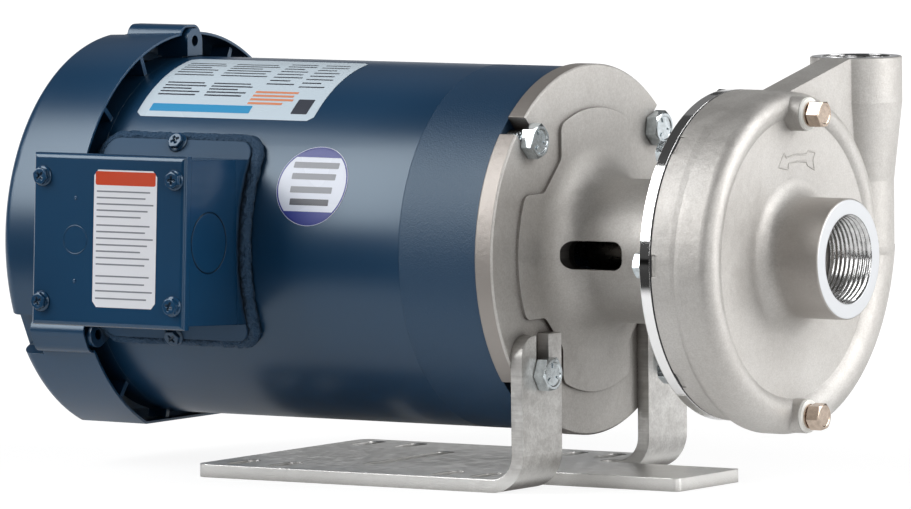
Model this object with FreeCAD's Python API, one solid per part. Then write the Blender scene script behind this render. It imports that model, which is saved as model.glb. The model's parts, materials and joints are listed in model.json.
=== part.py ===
import FreeCAD, Part
import math
import os

# Close-coupled centrifugal pump on a round-body motor with a C-face, in millimetres.
# X runs along the shaft, with X = 0 where the motor face meets the pump adapter and +X towards
# the suction port. Y = 0 is the upright plane through the shaft. Z = 0 is the underside of the base.
# Every piece is drawn about the shaft axis and is lifted to the shaft's height at the end.

V = FreeCAD.Vector
X_AXIS = V(1, 0, 0)
ORIGIN = V(0, 0, 0)

# Clearances
seat_gap = 0.3          # between curved faces that only lie near each other
slip_gap = 0.1          # radial, spigots in recesses and screws in their holes
run_gap = 0.03          # radial, running fits on the shaft
bolt_gap = 0.4          # radial, bolts in plain holes
air_gap = 0.5           # radial, between rotor and stator

# Motor body
motor_radius = 83.5
shell_wall = 3.0
shell_length = 172.2
endbell_length = 41.8
endbell_wall = 5.0
face_wall = 8.0
spigot_radius = 57.15
spigot_height = 4.0
spigot_wall = 7.0
lip_length = 4.0
lip_wall = 4.5
endshield_rim = 12.0
endshield_wall = 5.0
housing_radius = 26.0
housing_floor = 3.0

# C-face bolts, 3/8-16
face_bolt_circle = 149.225
face_bolt_radius = 4.76
face_bolt_grip = 14.0
face_bolt_across = 14.29
face_bolt_head = 6.2
face_boss_radius = 9.0
shield_rib_count = 8
shield_rib_turn = 22.5
face_bolt_angles = (45, 135, 225, 315)

# Bearings, 6203
bearing_bore = 8.5
bearing_radius = 20.0
bearing_width = 12.0
race_wall = 3.0
ball_count = 8
ball_clear = 0.15
front_bearing_x = -32.0
wave_washer_thick = 1.0

# Shaft and rotor
shaft_radius = 7.9375
shaft_reach = 52.4
shaft_body_radius = 12.0
shaft_tail = 1.5
fan_seat_radius = 7.5
rotor_radius = 44.5
rotor_length = 80.0
rotor_middle = -125.0
rotor_bore = 13.0
end_ring_width = 7.0
end_ring_wall = 13.0
rotor_fin_count = 8
key_size = 4.76
key_length = 28.0
key_start = 18.0

# Stator
core_length = 84.0
winding_length = 24.0
winding_inner = 51.0
winding_outer = 71.0
through_bolt_circle = 155.0
through_bolt_radius = 2.4
through_bolt_thread = 12.0
through_bolt_across = 7.9
through_bolt_head = 4.0
through_bolt_boss = 5.4
through_bolt_angles = (15, 105, 195, 285)

# Fan and fan cover
fan_radius = 81.0
fan_hub_radius = 14.0
fan_hub_length = 16.0
fan_plate = 2.0
fan_blade_thick = 2.0
fan_blade_count = 8
fan_gap = 8.0
fan_clip_thick = 1.2
cover_radius = 95.0
cover_draft = 1.0
cover_flat = 86.4
cover_wall = 1.2
cover_length = 43.5
cover_round = 6.0
cover_overlap = 0.5
channel_height = 3.3
channel_width = 17.0
channel_length = 30.3
channel_round = 6.0
channel_angles = (90, 207, 333)
pocket_width = 21.0
pocket_floor = 85.5
ear_radius = 6.0
ear_ahead = 3.0
ear_behind = 2.0
rib_thick = 2.5
rib_setback = 2.0
ribs_between = 4
cover_screw_radius = 2.4
cover_screw_bite = 9.0
cover_screw_across = 8.0
cover_screw_head = 3.6
vent_width = 6.0
vent_first = 22.0
vent_count = 4
vent_spokes = 6
vent_turn = 30.0

# Conduit box on the side of the shell
box_middle = -168.2
box_length = 84.9
box_height = 79.0
box_front = 133.0
box_wall = 1.6
box_tilt = -3.0
box_cover_lip = 5.0
box_cover_round = 2.4
saddle_edge = 1.2
saddle_thick = 1.6
saddle_corner = 7.0
gasket_length = 89.0
gasket_edge = 2.8
gasket_thick = 3.6
gasket_corner = 11.0
lead_hole = 15.0
grommet_proud = 3.0
knockout_radius = 14.2
knockout_groove = 0.6
box_screw_radius = 2.4
box_screw_across = 8.0
box_screw_flange = 5.4
box_screw_head = 3.2
box_screw_length = 9.0
box_screw_inset_x = 5.75
box_screw_inset_z = 10.8
post_radius = 3.9
saddle_screw_clear = 4.85
saddle_screw_x = -169.3
ground_screw_radius = 2.1
ground_screw_across = 7.9
ground_screw_head = 2.4
ground_screw_length = 4.0
ground_post_radius = 4.2
ground_post_rise = 3.0
ground_post_z = -14.0
board_length = 44.0
board_height = 30.0
board_thick = 4.0
board_standoff = 9.0
terminal_count = 5
terminal_radius = 2.2
terminal_height = 7.0

# Pump adapter
flange_radius = 85.0
flange_thick = 9.6
pad_radius = 65.0
pad_height = 1.5
pad_notch = 28.3
pad_notch_deep = 43.0
pad_corner = 5.0
neck_radius = 33.0
neck_wall = 6.5
neck_root = 17.0
disc_radius = 75.1
disc_thick = 5.2
disc_front = 87.2
disc_root = 6.0
pilot_radius = 61.5
pilot_height = 2.5
seal_wall_x = 64.0
seal_wall = 8.0
shaft_hole = 11.0
window_start = 16.0
window_length = 30.0
window_height = 13.0
window_corner = 5.0

# Mechanical seal
seat_pocket = 14.0
seat_depth = 8.2
seat_inner = 9.2
seat_outer = 12.5
seat_proud = 0.6
head_radius = 12.8
head_ring = 3.6
bellows_length = 5.0
seal_chamber = 21.0
spring_radius = 15.2
spring_wire = 0.9
spring_turns = 3
spring_sections = 8

# Stub shaft that carries the impeller
sleeve_radius = 13.0
sleeve_start = 14.0
sleeve_end = 56.0
sleeve_taper = 3.0
pump_shaft_radius = 8.0
thread_radius = 6.35
set_screw_radius = 3.1
set_screw_xs = (25.0, 38.0)
set_screw_angles = (0, 270)
slinger_radius = 20.0
slinger_thick = 2.4

# Impeller
impeller_radius = 51.0
impeller_back_gap = 4.3
shroud_back = 2.8
shroud_front = 2.6
vane_height = 9.2
vane_thick = 2.8
vane_count = 6
vane_inner = 17.5
vane_sweep = 105.0
eye_inner = 18.0
eye_ring_wall = 4.5
impeller_hub = 11.5
impeller_hub_back = 4.0
nut_length = 9.0
nut_across = 17.0
washer_thick = 1.6

# Volute casing
casing_gasket_thick = 0.6
rim_length = 10.0
rim_taper = 6.0
face_recess = 2.0
face_radius = 61.5
side_radius = 74.6
casing_depth = 31.2
crown_growth = 1.5
horn_rise = 8.2
horn_setback = 1.2
horn_back_start = 240
volute_reach = 94.5
volute_power = 3.0
volute_start = 90
volute_step = 30
front_wall = 5.0
chamber_gap = 2.5
channel_rise = 10.7
channel_wall = 4.0
channel_start_radius = 56.0
channel_reach = 90.0
channel_power = 1.5
channel_start = 60
wear_gap = 0.3

# Ports
suction_hub_radius = 27.4
suction_hub_length = 29.0
suction_hub_root = 8.0
suction_thread = 20.3
suction_thread_length = 22.0
suction_passage = 16.5
discharge_rise = 16.2
discharge_y = 77.2
discharge_radius = 21.1
discharge_top = 86.8
discharge_thread = 16.1
discharge_thread_length = 22.0
discharge_neck = 17.1
discharge_passage = 12.0
discharge_passage_shift = 2.0
discharge_taper_low = 30.0
discharge_taper_high = 66.0
web_front = 8.9
web_thick = 15.0
web_low = 73.6
web_drop = 0.4

# Plugs in the casing
plug_radius = 4.2
plug_across = 11.1
plug_hex = 6.5
plug_neck = 1.5
plug_neck_radius = 4.6
plug_depth = 11.0
plug_washer_radius = 7.5
plug_washer_thick = 1.4
plug_boss_radius = 7.8
vent_plug_z = 65.0
vent_boss_height = 7.6
drain_plug_z = -71.8
drain_boss_height = 6.4

# Casing bolts, 1/4-20, driven from the motor side
casing_bolt_circle = 137.5
casing_bolt_radius = 3.17
casing_bolt_across = 11.1
casing_bolt_head = 4.4
casing_bolt_grip = 8.0
casing_bolt_count = 8
rim_notch_width = 10.0
rim_notch_deep = 0.9
rim_notch_length = 2.6

# Base bracket, one bent plate
shaft_height = 106.3
base_thick = 6.0
base_width = 140.0
base_rear = -165.0
base_corner = 6.0
leg_width = 33.0
leg_above_bolt = 17.8
leg_corner = 10.0
leg_slot_width = 10.4
bend_inner = 11.0
tongue_width = 54.0
tongue_front = 71.3
tongue_corner = 3.0
relief_back = 1.0
slot_width = 8.7
slot_length = 22.0
slot_edge = 18.0
slot_rows = (15.0, 38.5, 128.5, 149.5)
centre_slot_row = 72.5
centre_slot_length = 70.0

# Places along the shaft that follow from the sizes above
shell_front = -endbell_length
shell_rear = shell_front - shell_length
shell_inner = motor_radius - shell_wall
endshield_back = shell_rear - endshield_rim
rear_bearing_x = endshield_back + housing_floor + wave_washer_thick
rear_bearing_end = rear_bearing_x + bearing_width
front_bearing_end = front_bearing_x + bearing_width
housing_pocket = bearing_radius + run_gap
cover_front = shell_rear + cover_overlap
cover_rear = cover_front - cover_length
fan_front = endshield_back - fan_gap
fan_rear = fan_front - fan_hub_length
channel_rear = cover_front - channel_length
channel_top = cover_radius + channel_height
cover_inner = cover_radius - cover_wall
channel_inner_top = channel_top - cover_wall
ear_centre = channel_inner_top - seat_gap - ear_radius
rotor_front = rotor_middle + rotor_length / 2
rotor_back = rotor_middle - rotor_length / 2
stator_inner = rotor_radius + air_gap
face_bolt_radius_at = face_bolt_circle / 2
through_bolt_at = through_bolt_circle / 2
disc_back = disc_front - disc_thick
pilot_front = disc_front + pilot_height
neck_bore = neck_radius - neck_wall
casing_back = disc_front + casing_gasket_thick
casing_crown = casing_back + casing_depth
face_x = casing_crown - face_recess
horn_back = casing_back + horn_rise
channel_back = casing_back + channel_rise
suction_hub_end = face_x + suction_hub_length
discharge_x = casing_back + discharge_rise
discharge_passage_x = discharge_x + discharge_passage_shift
vent_boss_x = face_x + vent_boss_height
drain_boss_x = face_x + drain_boss_height
impeller_back_x = pilot_front + impeller_back_gap
hub_back_x = impeller_back_x - impeller_hub_back
chamber_radius = impeller_radius + chamber_gap
chamber_front = face_x - front_wall
eye_ring_radius = eye_inner + eye_ring_wall
eye_ring_end = suction_hub_end - suction_thread_length - suction_hub_root - wear_gap
leg_top = -face_bolt_circle / 2 * math.sin(math.radians(45)) + leg_above_bolt
leg_front = flange_thick + base_thick
slot_y = base_width / 2 - slot_edge
saddle_inner = motor_radius + gasket_thick
saddle_outer = saddle_inner + saddle_thick
saddle_screw_angle = math.degrees(math.asin((box_height / 2 + saddle_screw_clear) / saddle_outer))
saddle_angle = saddle_screw_angle + saddle_edge
gasket_angle = saddle_angle + gasket_edge
ground_post_inset = 2 * box_wall + slip_gap + seat_gap + ground_screw_across / math.sqrt(3)


def cylinder(radius, start, end, y=0.0, z=0.0):
    """Cylinder along X."""
    return Part.makeCylinder(radius, end - start, V(start, y, z), X_AXIS)


def ring(outer, inner, start, end):
    """Hollow cylinder about the shaft axis."""
    return cylinder(outer, start, end).cut(cylinder(inner, start - 1, end + 1))


def block(x0, x1, y0, y1, z0, z1):
    return Part.makeBox(x1 - x0, y1 - y0, z1 - z0, V(x0, y0, z0))


def upright(radius, x, y, z0, z1):
    """Cylinder along Z."""
    return Part.makeCylinder(radius, z1 - z0, V(x, y, z0), V(0, 0, 1))


def revolve(points):
    """Solid of revolution about the shaft axis from (x, radius) points; a triple is an arc's middle."""
    edges = []
    last = None
    middle = None
    for point in points + [points[0]]:
        if len(point) == 3:
            middle = V(point[0], 0, point[1])
            continue
        here = V(point[0], 0, point[1])
        if last is not None:
            if middle is not None:
                edges.append(Part.Arc(last, middle, here).toShape())
            elif last.distanceToPoint(here) > 1e-6:
                edges.append(Part.makeLine(last, here))
        last = here
        middle = None
    return Part.Face(Part.Wire(edges)).revolve(ORIGIN, X_AXIS, 360)


def turned(shape, degrees):
    """Copy turned about the shaft axis; 0 is towards +Y and 90 is up."""
    copy = shape.copy()
    copy.rotate(ORIGIN, X_AXIS, degrees)
    return copy


def around(shape, angles):
    return [turned(shape, angle) for angle in angles]


def even_angles(count, first=0.0):
    return [first + 360.0 * i / count for i in range(count)]


def fused(shapes):
    result = shapes[0]
    for shape in shapes[1:]:
        result = result.fuse(shape)
    return result.removeSplitter()


def prism(points, start, end):
    """Prism along X from (y, z) points."""
    corners = [V(start, y, z) for y, z in points]
    face = Part.Face(Part.makePolygon(corners + [corners[0]]))
    return face.extrude(V(end - start, 0, 0))


def hexagon(across, start, end):
    """Hexagonal prism along X, chamfered at its far end."""
    corner = across / 2 / math.cos(math.radians(30))
    points = [(corner * math.cos(math.radians(a)), corner * math.sin(math.radians(a)))
              for a in range(0, 360, 60)]
    blank = prism(points, start, end)
    flat = across * 0.48
    drop = (corner - flat) * math.tan(math.radians(30))
    if end < start:
        drop = -drop
    turning = revolve([(start, 0), (start, corner), (end - drop, corner), (end, flat), (end, 0)])
    return blank.common(turning)


def moved(shape, x=0.0, y=0.0, z=0.0):
    copy = shape.copy()
    copy.translate(V(x, y, z))
    return copy


def vertical_edges(shape, x, y, tolerance=0.01):
    """Edges along Z that stand at one (x, y)."""
    found = []
    for edge in shape.Edges:
        first = edge.Vertexes[0].Point
        last = edge.Vertexes[-1].Point
        upright_edge = abs(first.x - last.x) < tolerance and abs(first.y - last.y) < tolerance
        if upright_edge and abs(first.x - x) < tolerance and abs(first.y - y) < tolerance:
            found.append(edge)
    return found


def axial_edges(shape, y, z, tolerance=0.01):
    """Edges along X that lie at one (y, z)."""
    found = []
    for edge in shape.Edges:
        first = edge.Vertexes[0].Point
        last = edge.Vertexes[-1].Point
        level = abs(first.y - last.y) < tolerance and abs(first.z - last.z) < tolerance
        if level and abs(first.y - y) < tolerance and abs(first.z - z) < tolerance:
            found.append(edge)
    return found


# Motor frame


def motor_shell():
    tube = ring(motor_radius, shell_inner, shell_rear, shell_front)
    lead = Part.makeCylinder(lead_hole, motor_radius, V(box_middle, 0, 0), V(0, -1, 0))
    tube = tube.cut(turned(lead, box_tilt))
    for side in (-1, 1):
        hole = saddle_screw_hole(box_screw_radius + slip_gap)
        tube = tube.cut(turned(hole, side * saddle_screw_angle))
    return tube


def saddle_screw_hole(radius):
    """Radial hole towards -Y, tilted with the conduit box."""
    hole = Part.makeCylinder(radius, motor_radius + 20, V(saddle_screw_x, 0, 0), V(0, -1, 0))
    return turned(hole, box_tilt)


def drive_endbell():
    body = cylinder(motor_radius, shell_front, 0)
    body = body.cut(cylinder(motor_radius - endbell_wall, shell_front - 1, -face_wall))
    lip = ring(shell_inner - slip_gap, shell_inner - lip_wall, shell_front - lip_length, shell_front)
    lip_root = ring(motor_radius - endbell_wall + 1, shell_inner - lip_wall, shell_front, shell_front + 2)
    spigot = ring(spigot_radius, spigot_radius - spigot_wall, -1, spigot_height)
    housing = cylinder(housing_radius, front_bearing_x, -face_wall + 1)
    boss = cylinder(face_boss_radius, -face_bolt_grip - 4, -1, face_bolt_radius_at, 0)
    bosses = around(boss, face_bolt_angles)
    stub_start = shell_front - lip_length
    thread_boss = cylinder(through_bolt_boss, stub_start, -face_wall + 1,
                           shell_inner - slip_gap - through_bolt_boss, 0)
    stubs = around(thread_boss, through_bolt_angles)
    ribs = around(block(front_bearing_x + 4, -face_wall + 1, housing_radius - 2, motor_radius - 3, -2, 2),
                  even_angles(shield_rib_count, shield_rib_turn))
    rim = cylinder(motor_radius - 1, shell_front - lip_length - 1, 1)
    inside = fused(bosses + stubs + ribs).common(rim)
    body = fused([body, lip, lip_root, spigot, housing, inside])
    body = body.cut(cylinder(housing_pocket, front_bearing_x - 1, front_bearing_end))
    body = body.cut(cylinder(shaft_radius + 1.5, front_bearing_x, spigot_height + 1))
    tapped = cylinder(face_bolt_radius + slip_gap, -face_bolt_grip - 1, 1, face_bolt_radius_at, 0)
    blind = cylinder(through_bolt_radius + slip_gap, stub_start - 1, stub_start + through_bolt_thread + 1,
                     through_bolt_at, 0)
    for cutter in around(tapped, face_bolt_angles) + around(blind, through_bolt_angles):
        body = body.cut(cutter)
    return body


def rear_endshield():
    body = cylinder(motor_radius, endshield_back, shell_rear)
    body = body.cut(cylinder(shell_inner - lip_wall, endshield_back + endshield_wall, shell_rear + 1))
    lip = ring(shell_inner - slip_gap, shell_inner - lip_wall, shell_rear - 1, shell_rear + lip_length)
    housing = cylinder(housing_radius, endshield_back, rear_bearing_end)
    ribs = around(block(endshield_back + 1, rear_bearing_end - 3, housing_radius - 2,
                        shell_inner - lip_wall + 1, -2, 2), even_angles(shield_rib_count, shield_rib_turn))
    outer_ribs = [outer_rib(angle) for angle in rib_angles()]
    ears = around(ear(), channel_angles)
    body = fused([body, lip, housing] + ribs + outer_ribs + ears)
    body = body.cut(cylinder(housing_pocket, endshield_back + housing_floor, rear_bearing_end + 1))
    body = body.cut(cylinder(bearing_bore + 1, endshield_back - 1, rear_bearing_x + 1))
    hole = cylinder(through_bolt_radius + bolt_gap, endshield_back - 1, shell_rear + lip_length + 1,
                    through_bolt_at, 0)
    tapped = cylinder(cover_screw_radius + slip_gap, endshield_back - ear_behind - 1,
                      shell_rear + ear_ahead + 1, ear_centre, 0)
    for cutter in around(hole, through_bolt_angles) + around(tapped, channel_angles):
        body = body.cut(cutter)
    return body


def rib_angles():
    """Angles of the ribs that stand between the ears under the fan cover's rim."""
    angles = []
    for i, ear_angle in enumerate(channel_angles):
        next_ear = channel_angles[(i + 1) % len(channel_angles)]
        step = (next_ear - ear_angle) % 360 / (ribs_between + 1)
        angles += [ear_angle + step * j for j in range(1, ribs_between + 1)]
    return angles


def outer_rib(angle):
    """Rib under the fan cover's rim, cut short where the cover is flat."""
    top = cover_inner_at(endshield_back) - seat_gap
    rib = block(endshield_back, shell_rear - rib_setback, motor_radius - 2, top,
                -rib_thick / 2, rib_thick / 2)
    return turned(rib, angle).common(above_flat(cover_flat - cover_wall - seat_gap))


def ear():
    """Lug with a tapped hole that fills the end of one channel of the fan cover."""
    front = shell_rear + ear_ahead
    back = endshield_back - ear_behind
    eye = cylinder(ear_radius, back, front, ear_centre, 0)
    stem = block(back, front, motor_radius + seat_gap, ear_centre, -ear_radius, ear_radius)
    foot = block(endshield_back, shell_rear, motor_radius - 3, ear_centre, -ear_radius, ear_radius)
    return fused([eye, stem, foot])


def through_bolts():
    length_start = shell_front - lip_length + through_bolt_thread
    shank = cylinder(through_bolt_radius, endshield_back, length_start)
    head = hexagon(through_bolt_across, 0, through_bolt_head)
    head.rotate(ORIGIN, V(0, 0, 1), 180)
    head.translate(V(endshield_back, 0, 0))
    bolt = moved(fused([shank, head]), y=through_bolt_at)
    return around(bolt, through_bolt_angles)


# Stator, rotor and bearings


def stator_core():
    half = core_length / 2
    core = ring(shell_inner - slip_gap, stator_inner, rotor_middle - half, rotor_middle + half)
    notch = cylinder(through_bolt_radius + 1, rotor_middle - half - 1, rotor_middle + half + 1,
                     through_bolt_at, 0)
    for cutter in around(notch, through_bolt_angles):
        core = core.cut(cutter)
    return core


def stator_windings():
    half = core_length / 2
    bundles = []
    for side in (-1, 1):
        near = rotor_middle + side * half
        far = near + side * winding_length
        bundle = ring(winding_outer, winding_inner, min(near, far), max(near, far))
        rims = [e for e in bundle.Edges if e.Closed and abs(e.Vertexes[0].Point.x - far) < 0.01]
        bundles.append(bundle.makeFillet((winding_outer - winding_inner) * 0.4, rims))
    return bundles


def rotor_core():
    return [ring(rotor_radius, rotor_bore + run_gap, rotor_back, rotor_front)]


def rotor_end_rings():
    rings = []
    for side, near in ((-1, rotor_back), (1, rotor_front)):
        far = near + side * end_ring_width
        tip = far + side * end_ring_width * 1.4
        band = ring(rotor_radius - 1, rotor_radius - 1 - end_ring_wall, min(near, far), max(near, far))
        fin = block(min(near, tip), max(near, tip), rotor_radius - end_ring_wall, rotor_radius - 2,
                    -1.5, 1.5)
        rings.append(fused([band] + around(fin, even_angles(rotor_fin_count))))
    return rings


def bearing_outer(start):
    return ring(bearing_radius, bearing_radius - race_wall, start, start + bearing_width)


def bearing_inner(start):
    return ring(bearing_bore + race_wall, bearing_bore, start, start + bearing_width)


def bearing_balls(start):
    low = bearing_bore + race_wall
    high = bearing_radius - race_wall
    ball = Part.makeSphere((high - low) / 2 - ball_clear)
    ball.translate(V(start + bearing_width / 2, (low + high) / 2, 0))
    return around(ball, even_angles(ball_count))


def wave_washer():
    start = endshield_back + housing_floor
    return ring(bearing_radius - slip_gap, bearing_radius - race_wall, start, start + wave_washer_thick)


def motor_shaft():
    journal = bearing_bore - run_gap
    tail_end = fan_rear - fan_clip_thick - shaft_tail
    fan_seat_end = endshield_back - 1
    shaft = revolve([
        (tail_end, 0), (tail_end, fan_seat_radius - 0.5), (tail_end + 0.5, fan_seat_radius),
        (fan_seat_end, fan_seat_radius), (fan_seat_end, journal), (rear_bearing_end, journal),
        (rear_bearing_end, shaft_body_radius), (rotor_back, shaft_body_radius), (rotor_back, rotor_bore),
        (rotor_front, rotor_bore), (rotor_front, shaft_body_radius), (front_bearing_x, shaft_body_radius),
        (front_bearing_x, journal), (front_bearing_end, journal), (front_bearing_end, shaft_radius),
        (shaft_reach - 1, shaft_radius), (shaft_reach, shaft_radius - 1), (shaft_reach, 0)])
    return shaft.cut(key_slot(slip_gap))


def key_slot(gap):
    half = key_size / 2 + gap
    return block(key_start - gap, key_start + key_length + gap, -half, half,
                 shaft_radius - key_size / 2 - gap, shaft_radius + key_size / 2 + gap)


def shaft_key():
    half = key_size / 2
    return block(key_start, key_start + key_length, -half, half, shaft_radius - half, shaft_radius + half)


# Cooling fan and its cover


def cooling_fan():
    hub = cylinder(fan_hub_radius, fan_rear, fan_front)
    plate = cylinder(fan_radius * 0.72, fan_front - fan_plate, fan_front)
    blade = block(fan_rear, fan_front - fan_plate / 2, fan_hub_radius - 1, fan_radius,
                  -fan_blade_thick / 2, fan_blade_thick / 2)
    tip = prism([(fan_radius - 14, -5), (fan_radius + 1, -5), (fan_radius + 1, 5), (fan_radius - 14, 5)],
                fan_rear - 1, fan_rear + 5)
    tip.rotate(V(fan_rear, fan_radius, 0), V(0, 0, 1), -20)
    blades = around(blade.cut(tip), even_angles(fan_blade_count))
    fan = fused([hub, plate] + blades)
    return fan.cut(cylinder(fan_seat_radius + run_gap, fan_rear - 1, fan_front + 1))


def fan_clip():
    clip = ring(fan_seat_radius + 3.5, fan_seat_radius + run_gap, fan_rear - fan_clip_thick, fan_rear)
    mouth = block(fan_rear - fan_clip_thick - 1, fan_rear + 1, 0, fan_seat_radius + 5, -1.5, 1.5)
    return clip.cut(mouth)


def cover_inner_at(x):
    """Inner radius of the drafted fan cover at one place along the shaft."""
    return cover_radius - cover_wall - cover_draft * (cover_front - x) / cover_length


def above_flat(distance):
    """Everything above the level face that lies this far under the shaft."""
    reach = 2 * cover_radius
    return block(cover_rear - 1, cover_front + 2, -reach, reach, -distance, reach)


def cover_profile(radius, front, rear, rounding):
    slant = rounding * (1 - math.sqrt(0.5))
    rear_radius = radius - cover_draft
    return revolve([(front, 0), (front, radius), (rear + rounding, rear_radius),
                    (rear + slant, rear_radius - slant, "arc"), (rear, rear_radius - rounding), (rear, 0)])


def channel(width, top, front, rear, rounding):
    """Raised arch over one ear, drawn at angle 0."""
    arch = block(rear, front, cover_radius * 0.8, top, -width / 2, width / 2)
    crests = axial_edges(arch, top, width / 2) + axial_edges(arch, top, -width / 2)
    return arch.makeFillet(rounding, crests)


def pocket(wall):
    """Recess in the rear rim that gives access to one cover screw, grown by a wall."""
    half = pocket_width / 2 + wall
    return block(cover_rear - 1, channel_rear + wall, pocket_floor - wall, channel_top + 1, -half, half)


def fan_cover():
    outer = cover_profile(cover_radius, cover_front, cover_rear, cover_round)
    arch = channel(channel_width, channel_top, cover_front, channel_rear, channel_round)
    outer = fused([outer.common(above_flat(cover_flat))] + around(arch, channel_angles))
    for cutter in around(pocket(0), channel_angles):
        outer = outer.cut(cutter)
    inner = cover_profile(cover_inner, cover_front + 1, cover_rear + cover_wall, cover_round - cover_wall)
    hollow = channel(channel_width - 2 * cover_wall, channel_inner_top, cover_front + 1,
                     channel_rear + cover_wall, channel_round - cover_wall)
    inner = fused([inner.common(above_flat(cover_flat - cover_wall))] + around(hollow, channel_angles))
    for cutter in around(pocket(cover_wall), channel_angles):
        inner = inner.cut(cutter)
    cover = outer.cut(inner)
    slots = []
    for i in range(vent_count):
        inside = vent_first + 2 * vent_width * i
        slots.append(ring(inside + vent_width, inside, cover_rear - 1, cover_rear + cover_wall + 1))
    spoke = block(cover_rear - 2, cover_rear + 2, 0, cover_radius, -vent_width / 2, vent_width / 2)
    vents = Part.makeCompound(slots).cut(fused(around(spoke, even_angles(vent_spokes, vent_turn))))
    cover = cover.cut(vents)
    hole = cylinder(cover_screw_radius + bolt_gap, channel_rear - 1, channel_rear + cover_wall + 1,
                    ear_centre, 0)
    for cutter in around(hole, channel_angles):
        cover = cover.cut(cutter)
    return cover


def fan_cover_screws():
    end = endshield_back - ear_behind + cover_screw_bite
    shank = cylinder(cover_screw_radius, channel_rear, end)
    head = hexagon(cover_screw_across, 0, cover_screw_head)
    head.rotate(ORIGIN, V(0, 0, 1), 180)
    head.translate(V(channel_rear, 0, 0))
    screw = moved(fused([shank, head]), y=ear_centre)
    return around(screw, channel_angles)


# Conduit box. It is drawn square to -Y and then tilted about the shaft.


def arc_plate(inner, outer, length, half_angle, corner):
    """Curved plate on the -Y side of the shell, with rounded corners seen from outside."""
    half = length / 2
    shell = ring(outer, inner, box_middle - half, box_middle + half)
    reach = outer * math.sin(math.radians(half_angle))
    window = block(box_middle - half, box_middle + half, -outer - 1, 0, -reach, reach)
    if corner > 0:
        edges = []
        for edge in window.Edges:
            first = edge.Vertexes[0].Point
            last = edge.Vertexes[-1].Point
            if abs(first.x - last.x) < 0.01 and abs(first.z - last.z) < 0.01:
                edges.append(edge)
        window = window.makeFillet(corner, edges)
    return shell.common(window)


def box_gasket():
    pad = arc_plate(motor_radius, saddle_inner, gasket_length, gasket_angle, gasket_corner)
    pad = pad.cut(Part.makeCylinder(lead_hole, saddle_outer, V(box_middle, 0, 0), V(0, -1, 0)))
    for side in (-1, 1):
        hole = Part.makeCylinder(box_screw_radius + slip_gap, saddle_outer + 5, V(saddle_screw_x, 0, 0),
                                 V(0, -1, 0))
        pad = pad.cut(turned(hole, side * saddle_screw_angle))
    pad = turned(pad, box_tilt)
    half = ear_radius + seat_gap
    room = block(endshield_back, shell_rear + ear_ahead + seat_gap, motor_radius - 1, saddle_outer,
                 -half, half)
    for cutter in around(room, channel_angles):
        pad = pad.cut(cutter)
    return pad


def conduit_box():
    inset = box_wall + slip_gap
    half_x = box_length / 2 - inset
    half_z = box_height / 2 - inset
    saddle = arc_plate(saddle_inner, saddle_outer, 2 * half_x, saddle_angle, saddle_corner)
    front = -box_front + box_wall
    walls = block(box_middle - half_x, box_middle + half_x, front, 0, -half_z, half_z)
    walls = walls.cut(block(box_middle - half_x + box_wall, box_middle + half_x - box_wall, front - 1, 1,
                            -half_z + box_wall, half_z - box_wall))
    drum = cylinder(saddle_outer - saddle_thick / 2, box_middle - box_length, box_middle + box_length)
    walls = walls.cut(drum)
    posts = []
    for x, z in box_screw_places():
        post = Part.makeCylinder(post_radius, box_front - box_wall, V(x, 0, z), V(0, -1, 0))
        posts.append(post.cut(drum))
    ground_x, ground_y, ground_z = ground_screw_place()
    post = Part.makeCylinder(ground_post_radius, -ground_y, V(ground_x, 0, ground_z), V(0, -1, 0))
    posts.append(post.cut(drum))
    body = fused([saddle, walls] + posts)
    body = body.cut(Part.makeCylinder(lead_hole - 2, saddle_outer + 5, V(box_middle, 0, 0), V(0, -1, 0)))
    for x, z in box_screw_places():
        body = body.cut(Part.makeCylinder(box_screw_radius + slip_gap, box_screw_length + 1,
                                          V(x, front - 1, z), V(0, 1, 0)))
    for side in (-1, 1):
        body = body.cut(saddle_notch(side))
    for side in (-1, 1):
        wall_x = box_middle + side * half_x
        middle_y = -(box_front + saddle_outer) / 2
        groove = cylinder(knockout_radius, wall_x - knockout_groove, wall_x + knockout_groove, middle_y, 0)
        groove = groove.cut(cylinder(knockout_radius - knockout_groove, wall_x - 2, wall_x + 2, middle_y, 0))
        body = body.cut(groove)
    ground = Part.makeCylinder(ground_screw_radius + slip_gap, ground_screw_length + seat_gap,
                               V(ground_x, ground_y, ground_z), V(0, 1, 0))
    return turned(body.cut(ground), box_tilt)


def saddle_notch(side):
    """Notch in the saddle's edge round one of its screws."""
    half = box_screw_radius + slip_gap
    hole = Part.makeCylinder(half, saddle_outer + 5, V(saddle_screw_x, 0, 0), V(0, -1, 0))
    mouth = block(saddle_screw_x - half, saddle_screw_x + half, -saddle_outer - 5, 0, -8, 0)
    if side < 0:
        mouth = moved(mouth, z=8)
    return turned(fused([hole, mouth]), side * saddle_screw_angle)


def box_screw_places():
    reach_x = box_length / 2 - box_screw_inset_x
    reach_z = box_height / 2 - box_screw_inset_z
    return [(box_middle + sx * reach_x, sz * reach_z) for sx in (-1, 1) for sz in (-1, 1)]


def ground_screw_place():
    """Top of the short post that stands on the saddle, near the box's +X wall."""
    return (box_middle + box_length / 2 - ground_post_inset, -saddle_outer - ground_post_rise, ground_post_z)


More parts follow.
